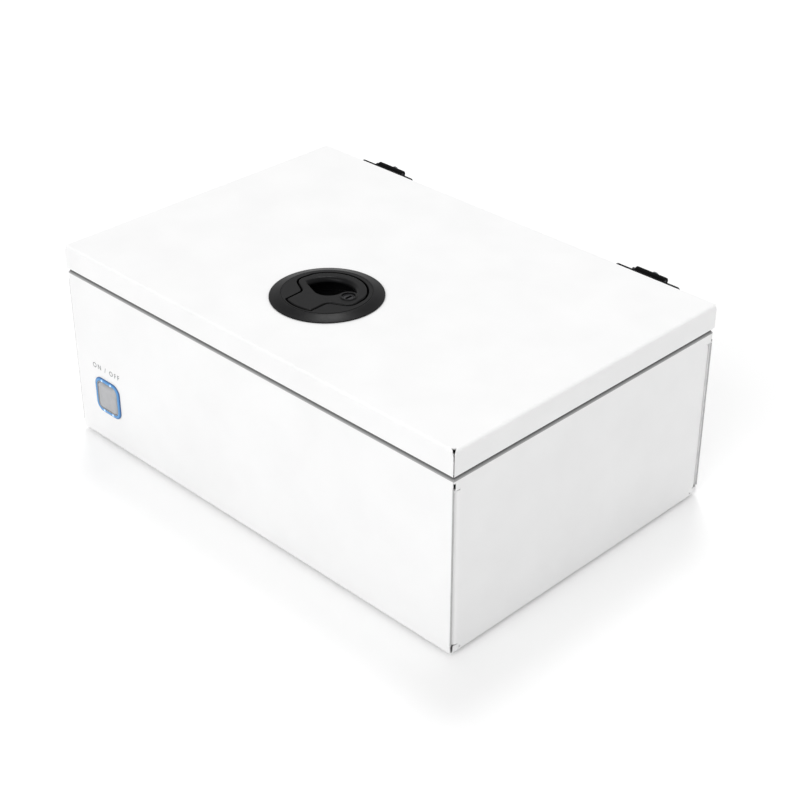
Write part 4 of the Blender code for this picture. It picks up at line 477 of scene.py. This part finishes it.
# %% Button ring and cap
CORNER_STEPS = 10
STRAIGHT_MM = 11.2        # half of the straight stretch of a side, in ring and cap alike
LEAST_CORNER_MM = 2.4
STEM_RADIUS = 0.005
STEM_LONG = 0.0141
STEM_MIDDLE = 0.0072      # behind the wall
UPRIGHT = Matrix.Rotation(math.radians(90), 4, "X")


def rounded_rectangle(mesh, lay, half_x, half_y, corner):
    """Edges of a rounded rectangle in the plane that the matrix lays; all sizes in metres."""
    matrix = lay @ Matrix.Diagonal((half_x, half_y, 1, 1)) @ Matrix.Rotation(math.radians(45), 4, "Z")
    corners = bmesh.ops.create_circle(mesh, cap_ends=True, segments=4, matrix=matrix,
                                      radius=math.sqrt(2))["verts"]
    result = bmesh.ops.bevel(mesh, geom=corners, offset=corner, offset_type="OFFSET",
                             segments=CORNER_STEPS, profile=0.5, affect="VERTICES", material=-1)
    face = result["verts"][0].link_faces[0]
    edges = list(face.edges)
    bmesh.ops.delete(mesh, geom=[face], context="FACES_ONLY")
    return edges


def button_square(mesh, half, height):
    """A rounded square in front of the wall, round the button's middle; sizes in millimetres."""
    lay = Matrix.Translation((BUTTON_CENTRE.x, WALL_Y - height / 1000, BUTTON_CENTRE.z)) @ UPRIGHT
    corner = max(LEAST_CORNER_MM, half - STRAIGHT_MM)
    return rounded_rectangle(mesh, lay, half / 1000, half / 1000, corner / 1000)


def stacked(mesh, loops, closed_ring):
    """Bridge loops of edges, each to the next, into a closed shell."""
    pairs = list(zip(loops, loops[1:]))
    if closed_ring:
        pairs.append((loops[-1], loops[0]))
    else:
        for ends in (loops[0], loops[-1]):
            bmesh.ops.edgeloop_fill(mesh, edges=ends)
    for first, second in pairs:
        bmesh.ops.bridge_loops(mesh, edges=first + second)
    bmesh.ops.recalc_face_normals(mesh, faces=mesh.faces)


RING_PROFILE = [(22.7, 0.3), (22.7, 0.7), (22.5, 0.95), (22.0, 1.25), (21.4, 1.55), (20.8, 1.8),
                (20.2, 1.95), (19.6, 2.0), (19.0, 1.93), (18.6, 1.7), (18.4, 1.3), (18.4, -8.4),
                (20.4, -8.5), (20.4, 0.2)]
mesh = bmesh.new()
stacked(mesh, [button_square(mesh, *place) for place in RING_PROFILE], closed_ring=True)
piece_from(mesh, "button_ring_finished", ring_glints_and_shade, "case", stands_for="button_ring")

CAP_PROFILE = [(16.6, -1.2), (16.6, 0.9), (16.5, 1.2), (16.1, 1.5), (15.4, 1.83), (14.6, 2.13),
               (13.8, 2.34), (13.0, 2.4), (12.2, 2.33), (11.2, 2.17), (9.6, 2.0), (7.0, 1.92)]
mesh = bmesh.new()
stacked(mesh, [button_square(mesh, *place) for place in CAP_PROFILE], closed_ring=False)
stem = Matrix.Translation((BUTTON_CENTRE.x, WALL_Y + STEM_MIDDLE, BUTTON_CENTRE.z)) @ UPRIGHT
bmesh.ops.create_cone(mesh, cap_ends=True, segments=24, radius1=STEM_RADIUS, radius2=STEM_RADIUS,
                      depth=STEM_LONG, matrix=stem)
piece_from(mesh, "button_cap_finished", silver_cap, "button", stands_for="button_cap")
print("ring", round(RING_SPAN * 1000, 1), "mm square")

# %% [markdown]
# The hinges, the board, the duct and the fan are held by socket-head screws. A screw is a short
# cylinder with a rounded top edge, a six-sided recess and a shank. The round top is bridged to a
# hexagon, which is pulled down. Both outlines lie at one height, so the bridge also crosses the
# middle: from outside the heads look flat, and their recess stays hidden. A hexagon a little
# lower than the top would open it. The screws of a piece are one object, as they move together.

# %% Screws
SMALL_SCREW = (2.6, 1.4, 1.2, 4.5)      # head radius, head height, shank radius, length, in mm
LONG_SCREW = (2.6, 1.4, 1.2, 12.0)
LARGE_SCREW = (3.9, 2.2, 1.8, 10.0)
HEAD_EDGE_SHARE, RECESS_SHARE, RECESS_DEEP_SHARE = 0.15, 0.52, 0.6
SEAT_GAP = 0.00005


def one_screw(size, place, outward):
    """A socket-head screw: its head sits at place and points outward."""
    head, height, shank, length = (value / 1000 for value in size)
    part = bmesh.new()
    bmesh.ops.create_cone(part, cap_ends=True, segments=24, radius1=head, radius2=head, depth=height,
                          matrix=Matrix.Translation((0, 0, height / 2)))
    top = [edge for edge in part.edges if all(vert.co.z > height / 2 for vert in edge.verts)]
    bmesh.ops.bevel(part, geom=top, offset=head * HEAD_EDGE_SHARE, offset_type="OFFSET",
                    segments=3, profile=0.5, affect="EDGES", material=-1)
    crown = max(part.faces, key=lambda face: face.calc_center_median().z)
    rim = list(crown.edges)
    bmesh.ops.delete(part, geom=[crown], context="FACES_ONLY")
    hexagon = bmesh.ops.create_circle(part, cap_ends=False, segments=6, radius=head * RECESS_SHARE,
                                      matrix=Matrix.Translation((0, 0, height)))["verts"]
    sides = list({edge for vert in hexagon for edge in vert.link_edges})
    bmesh.ops.bridge_loops(part, edges=rim + sides)
    pulled = bmesh.ops.extrude_edge_only(part, edges=sides)["geom"]
    low = [item for item in pulled if isinstance(item, bmesh.types.BMVert)]
    bmesh.ops.translate(part, verts=low, vec=(0, 0, -height * RECESS_DEEP_SHARE))
    bmesh.ops.holes_fill(part, edges=[edge for edge in part.edges if edge.is_boundary], sides=0)
    seat = min(part.faces, key=lambda face: face.calc_center_median().z)
    bmesh.ops.inset_region(part, faces=[seat], thickness=head - shank, use_even_offset=True)
    end = bmesh.ops.extrude_face_region(part, geom=[seat])["geom"]
    bmesh.ops.delete(part, geom=[seat], context="FACES_ONLY")
    tip = [item for item in end if isinstance(item, bmesh.types.BMVert)]
    bmesh.ops.translate(part, verts=tip, vec=(0, 0, -length))
    bmesh.ops.recalc_face_normals(part, faces=part.faces)
    outward = Vector(outward)
    turn = outward.to_track_quat("Z", "Y").to_matrix().to_4x4()
    bmesh.ops.transform(part, verts=part.verts,
                        matrix=Matrix.Translation(Vector(place) + outward * SEAT_GAP) @ turn)
    return part


def screws(name, body, size, middle, axes, reach, outward):
    """Four screws of a piece, as one object: reach is how far they lie from the middle."""
    group = bmesh.new()
    for a in (-reach[0], reach[0]):
        for b in (-reach[1], reach[1]):
            place = Vector(middle)
            place[axes[0]] += a
            place[axes[1]] += b
            part = one_screw(size, place, outward)
            data = bpy.data.meshes.new("screw")
            part.to_mesh(data)
            part.free()
            group.from_mesh(data)
            bpy.data.meshes.remove(data)
    piece_from(group, name, zinc, body)
    print(name)


print("screw sizes", SMALL_SCREW, LONG_SCREW, LARGE_SCREW)

# %% [markdown]
# Each group of four is placed from the box of the piece that it holds: the middle between the
# screws, which lies on the face that they press on, and how far they are from it.

# %% Screws in their places
LEAF_TALL, LEAF_THICK, LEAF_INSET = 0.0257, 0.0025, 0.0065
BRACKET_SEAT, BRACKET_MIDDLE = 0.0068, 0.0280       # behind its front, and over its foot
BRACKET_REACH = (0.018, 0.017)
BOARD_THICK, BOARD_INSET = 0.0016, 0.0050
DUCT_FLANGE, DUCT_INSET, DUCT_REACH = 0.0015, 0.006, 0.017
FAN_REACH = 0.025
X, Y, Z = 0, 1, 2

for side in ("left", "right"):
    low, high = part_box(f"hinge_leaf_{side}")
    middle = ((low.x + high.x) / 2, low.y + LEAF_THICK, low.z + LEAF_TALL / 2)
    reach = ((high.x - low.x) / 2 - LEAF_INSET, LEAF_TALL / 2 - LEAF_INSET)
    screws(f"hinge_leaf_screws_{side}", "lid", SMALL_SCREW, middle, (X, Z), reach, (0, 1, 0))
    low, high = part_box(f"hinge_bracket_{side}")
    middle = ((low.x + high.x) / 2, low.y + BRACKET_SEAT, low.z + BRACKET_MIDDLE)
    screws(f"hinge_bracket_screws_{side}", "case", LARGE_SCREW, middle, (X, Z), BRACKET_REACH, (0, 1, 0))

low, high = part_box("control_board")
middle = ((low.x + high.x) / 2, (low.y + high.y) / 2, low.z + BOARD_THICK)
reach = ((high.x - low.x) / 2 - BOARD_INSET, (high.y - low.y) / 2 - BOARD_INSET)
screws("board_screws", "case", SMALL_SCREW, middle, (X, Y), reach, (0, 0, 1))

low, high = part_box("air_duct")
middle = ((low.x + high.x) / 2, high.y - DUCT_FLANGE, (low.z + high.z) / 2)
reach = ((high.x - low.x) / 2 - DUCT_INSET, DUCT_REACH)
screws("duct_screws", "case", SMALL_SCREW, middle, (X, Z), reach, (0, -1, 0))

low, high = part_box("fan_frame")
middle = ((low.x + high.x) / 2, low.y, (low.z + high.z) / 2)
screws("fan_screws", "case", LONG_SCREW, middle, (X, Z), (FAN_REACH, FAN_REACH), (0, -1, 0))

# %% [markdown]
# The foam seal lies on the case's rim. A thin grey lip on its outer side is a sheet of painted
# shade: it stands for the shade in the gap under the lid, and shows as a dark line there. It leans
# out and lies over the rim's bend. Its profile is given as the distance behind the case's wall and
# the height over the case's top. It is swept round the rim as a stack of rounded rectangles.

# %% Lip of the seal, a sheet of painted shade
LIP_PROFILE = [(3.15, 3.9), (2.9, 3.6), (2.4, 2.7), (1.95, 1.6), (1.5, 0.5), (1.08, -0.5),
               (0.66, -1.3), (0.28, -2.0), (0.14, -2.4), (0.18, -2.55), (0.24, -2.40), (1.0, -1.22),
               (1.75, -0.65), (2.4, -0.2), (3.15, 0.12)]
LIP_CORNER_MM, LIP_CORNER_GROWTH = 1.2, 0.9      # corner radius at the wall, and its gain inwards

case_middle = (CASE_LOW + CASE_HIGH) / 2
case_half = (CASE_HIGH - CASE_LOW) / 2


def lip_outline(mesh, inset, height):
    """A rounded rectangle inside the case's outline; both sizes in millimetres."""
    lay = Matrix.Translation((case_middle.x, case_middle.y, CASE_HIGH.z + height / 1000))
    corner = LIP_CORNER_MM + LIP_CORNER_GROWTH * inset
    return rounded_rectangle(mesh, lay, case_half.x - inset / 1000, case_half.y - inset / 1000,
                             corner / 1000)


mesh = bmesh.new()
stacked(mesh, [lip_outline(mesh, *place) for place in LIP_PROFILE], closed_ring=True)
# The lip is a grey sheet of painted shade for the gap under the lid.
lip = piece_from(mesh, "seal_lip_shade_sheet", painted_shade_lip, "case")
print("lip", round(lip.dimensions.x * 1000, 1), "x", round(lip.dimensions.y * 1000, 1), "mm")

# %% [markdown]
# The front and rear walls' edges stand free of the side walls' bends. A thin grey bead in each
# notch is painted shade: it darkens the joint and shows as a grey line up every corner. It is a
# slim bar with rounded edges that fills the notch.

# %% Painted shade in the corner joints
BEAD_WIDE, BEAD_DEEP, BEAD_EDGE = 0.0011, 0.0017, 0.0004
BEAD_INSET = 0.0002       # from the side wall's outside to the bead
BEAD_BEHIND = 0.0001      # behind the front wall's outside
BEAD_END = 0.0104         # between the bead's end and the case's top or underside

bead_half = case_half - Vector((BEAD_INSET + BEAD_WIDE / 2, BEAD_BEHIND + BEAD_DEEP / 2, BEAD_END))
group = bmesh.new()
for side in (-1, 1):
    for end in (-1, 1):
        centre = case_middle + Vector((side * bead_half.x, end * bead_half.y, 0))
        size = (BEAD_WIDE, BEAD_DEEP, 2 * bead_half.z, 1)
        bmesh.ops.create_cube(group, size=1.0, matrix=Matrix.Translation(centre) @ Matrix.Diagonal(size))
# The beads are grey painted shade in the corner notches.
shade_beads = piece_from(group, "corner_beads_of_painted_shade", joint_shade_grey, "case")
rounded_edges(shade_beads, BEAD_EDGE)
print("sealant beads: 4")

# %% [markdown]
# The legend over the button is screen-printed. It is generic here: it only says what the button
# does. Text starts as a curve, is made a mesh, and is then laid on the wall as a film of ink
# less than a tenth of a millimetre thick.

# %% Legend
CAPITALS_MM = 6.4         # height of the capitals
CAPITAL_SHARE = 0.73      # what share of the font's size a capital takes
LETTER_SPACING = 1.42
STROKE_GAIN = 0.00012     # how much bolder each side of a stroke gets
LEGEND_RISE = 0.0125      # from the ring's top to the legend's middle
INK_MM = 0.06

words = bpy.data.curves.new("legend", "FONT")
words.body = "ON / OFF"
words.align_x = "CENTER"
words.align_y = "CENTER"
words.space_character = LETTER_SPACING
words.offset = STROKE_GAIN
words.size = CAPITALS_MM / 1000 / CAPITAL_SHARE
words.extrude = INK_MM / 2000
words.resolution_u = 6
words_object = bpy.data.objects.new("legend_curve", words)
bpy.context.scene.collection.objects.link(words_object)
bpy.context.view_layer.update()
mesh = bmesh.new()
mesh.from_mesh(worked_out(words_object))
bpy.data.objects.remove(words_object)
bmesh.ops.remove_doubles(mesh, verts=mesh.verts, dist=MERGE)
lay = Matrix.Translation((BUTTON_CENTRE.x, WALL_Y, RING_HIGH.z + LEGEND_RISE)) @ UPRIGHT
bmesh.ops.transform(mesh, verts=mesh.verts, matrix=lay)
legend = piece_from(mesh, "button_legend", legend_ink, "case")
print("legend", round(legend.dimensions.x * 1000, 1), "mm wide")

# %% [markdown]
# The floor is a plain sheet under the box, and the sky is an even white. The floor's colour is
# pale grey so that it doesn't light the box too much. What the lens sees of both is lifted to
# white, or nearly, by a little glow that lights nothing else, so the box keeps its soft shadow.

# %% Floor and sky
AMBIENT = 0.70
FLOOR_LIFT = 0.12
FLOOR_HALF = 15.0         # half the floor's width, in metres
WHITE = (1, 1, 1, 1)


def seen_by_lens(tree):
    """One where a ray comes from the camera or through a clear piece, else zero."""
    path = add_node(tree, "ShaderNodeLightPath")
    both = add_node(tree, "ShaderNodeMath", settings={"operation": "MAXIMUM"},
                    links={0: path.outputs["Is Camera Ray"], 1: path.outputs["Is Transmission Ray"]})
    return both.outputs[0]


floor_mesh = bmesh.new()
bmesh.ops.create_grid(floor_mesh, x_segments=1, y_segments=1, size=FLOOR_HALF)
floor_data = bpy.data.meshes.new("floor")
floor_mesh.to_mesh(floor_data)
floor_mesh.free()
floor = bpy.data.objects.new("floor", floor_data)
bpy.context.scene.collection.objects.link(floor)

paper, tree, shader, place = new_finish("pale_paper", Roughness=0.9, Specular_IOR_Level=0.0,
                                        Base_Color=linear("F0F0F0"), Emission_Color=WHITE)
lift = add_node(tree, "ShaderNodeMath", settings={"operation": "MULTIPLY"}, values={1: FLOOR_LIFT},
                links={0: seen_by_lens(tree)})
tree.links.new(lift.outputs[0], shader.inputs["Emission Strength"])
floor_data.materials.append(paper)

world = bpy.data.worlds.new("soft_sky")
world.use_nodes = True
bpy.context.scene.world = world
sky = world.node_tree.nodes["Background"]
sky.inputs["Color"].default_value = WHITE
strength = add_node(world.node_tree, "ShaderNodeMapRange", values={"To Min": AMBIENT, "To Max": 1.0},
                    links={"Value": seen_by_lens(world.node_tree)})
world.node_tree.links.new(strength.outputs["Result"], sky.inputs["Strength"])
print("ambient", AMBIENT)

# %% [markdown]
# Three lamps light the box. The high one stands behind and to the left. It lights the top, and the
# latch's cone mirrors it towards the lens, which gives the cone its soft highlight. The low one
# stands in front, slightly to the right, and lights the front more than the right side, as in the
# photograph. A weak third one catches the rounded edges of the latch's handle. Sun lamps with a
# wide angle give soft shadows, however far away the lamps would be.

# %% Lamps
LAMPS = {                 # direction from the box towards the lamp, strength, angle in degrees
    "high_lamp": ((-0.31, 0.31, 0.90), 0.75, 16.0),
    "front_lamp": ((0.12, -0.84, 0.52), 0.92, 40.0),
    "edge_lamp": ((0.30, -0.45, 0.84), 0.14, 8.0),
}
for name, (direction, strength, angle) in LAMPS.items():
    lamp = bpy.data.objects.new(name, bpy.data.lights.new(name, "SUN"))
    bpy.context.scene.collection.objects.link(lamp)
    lamp.data.energy = strength
    lamp.data.angle = math.radians(angle)
    lamp.rotation_euler = Vector(direction).to_track_quat("Z", "Y").to_euler()
    print(name, strength)
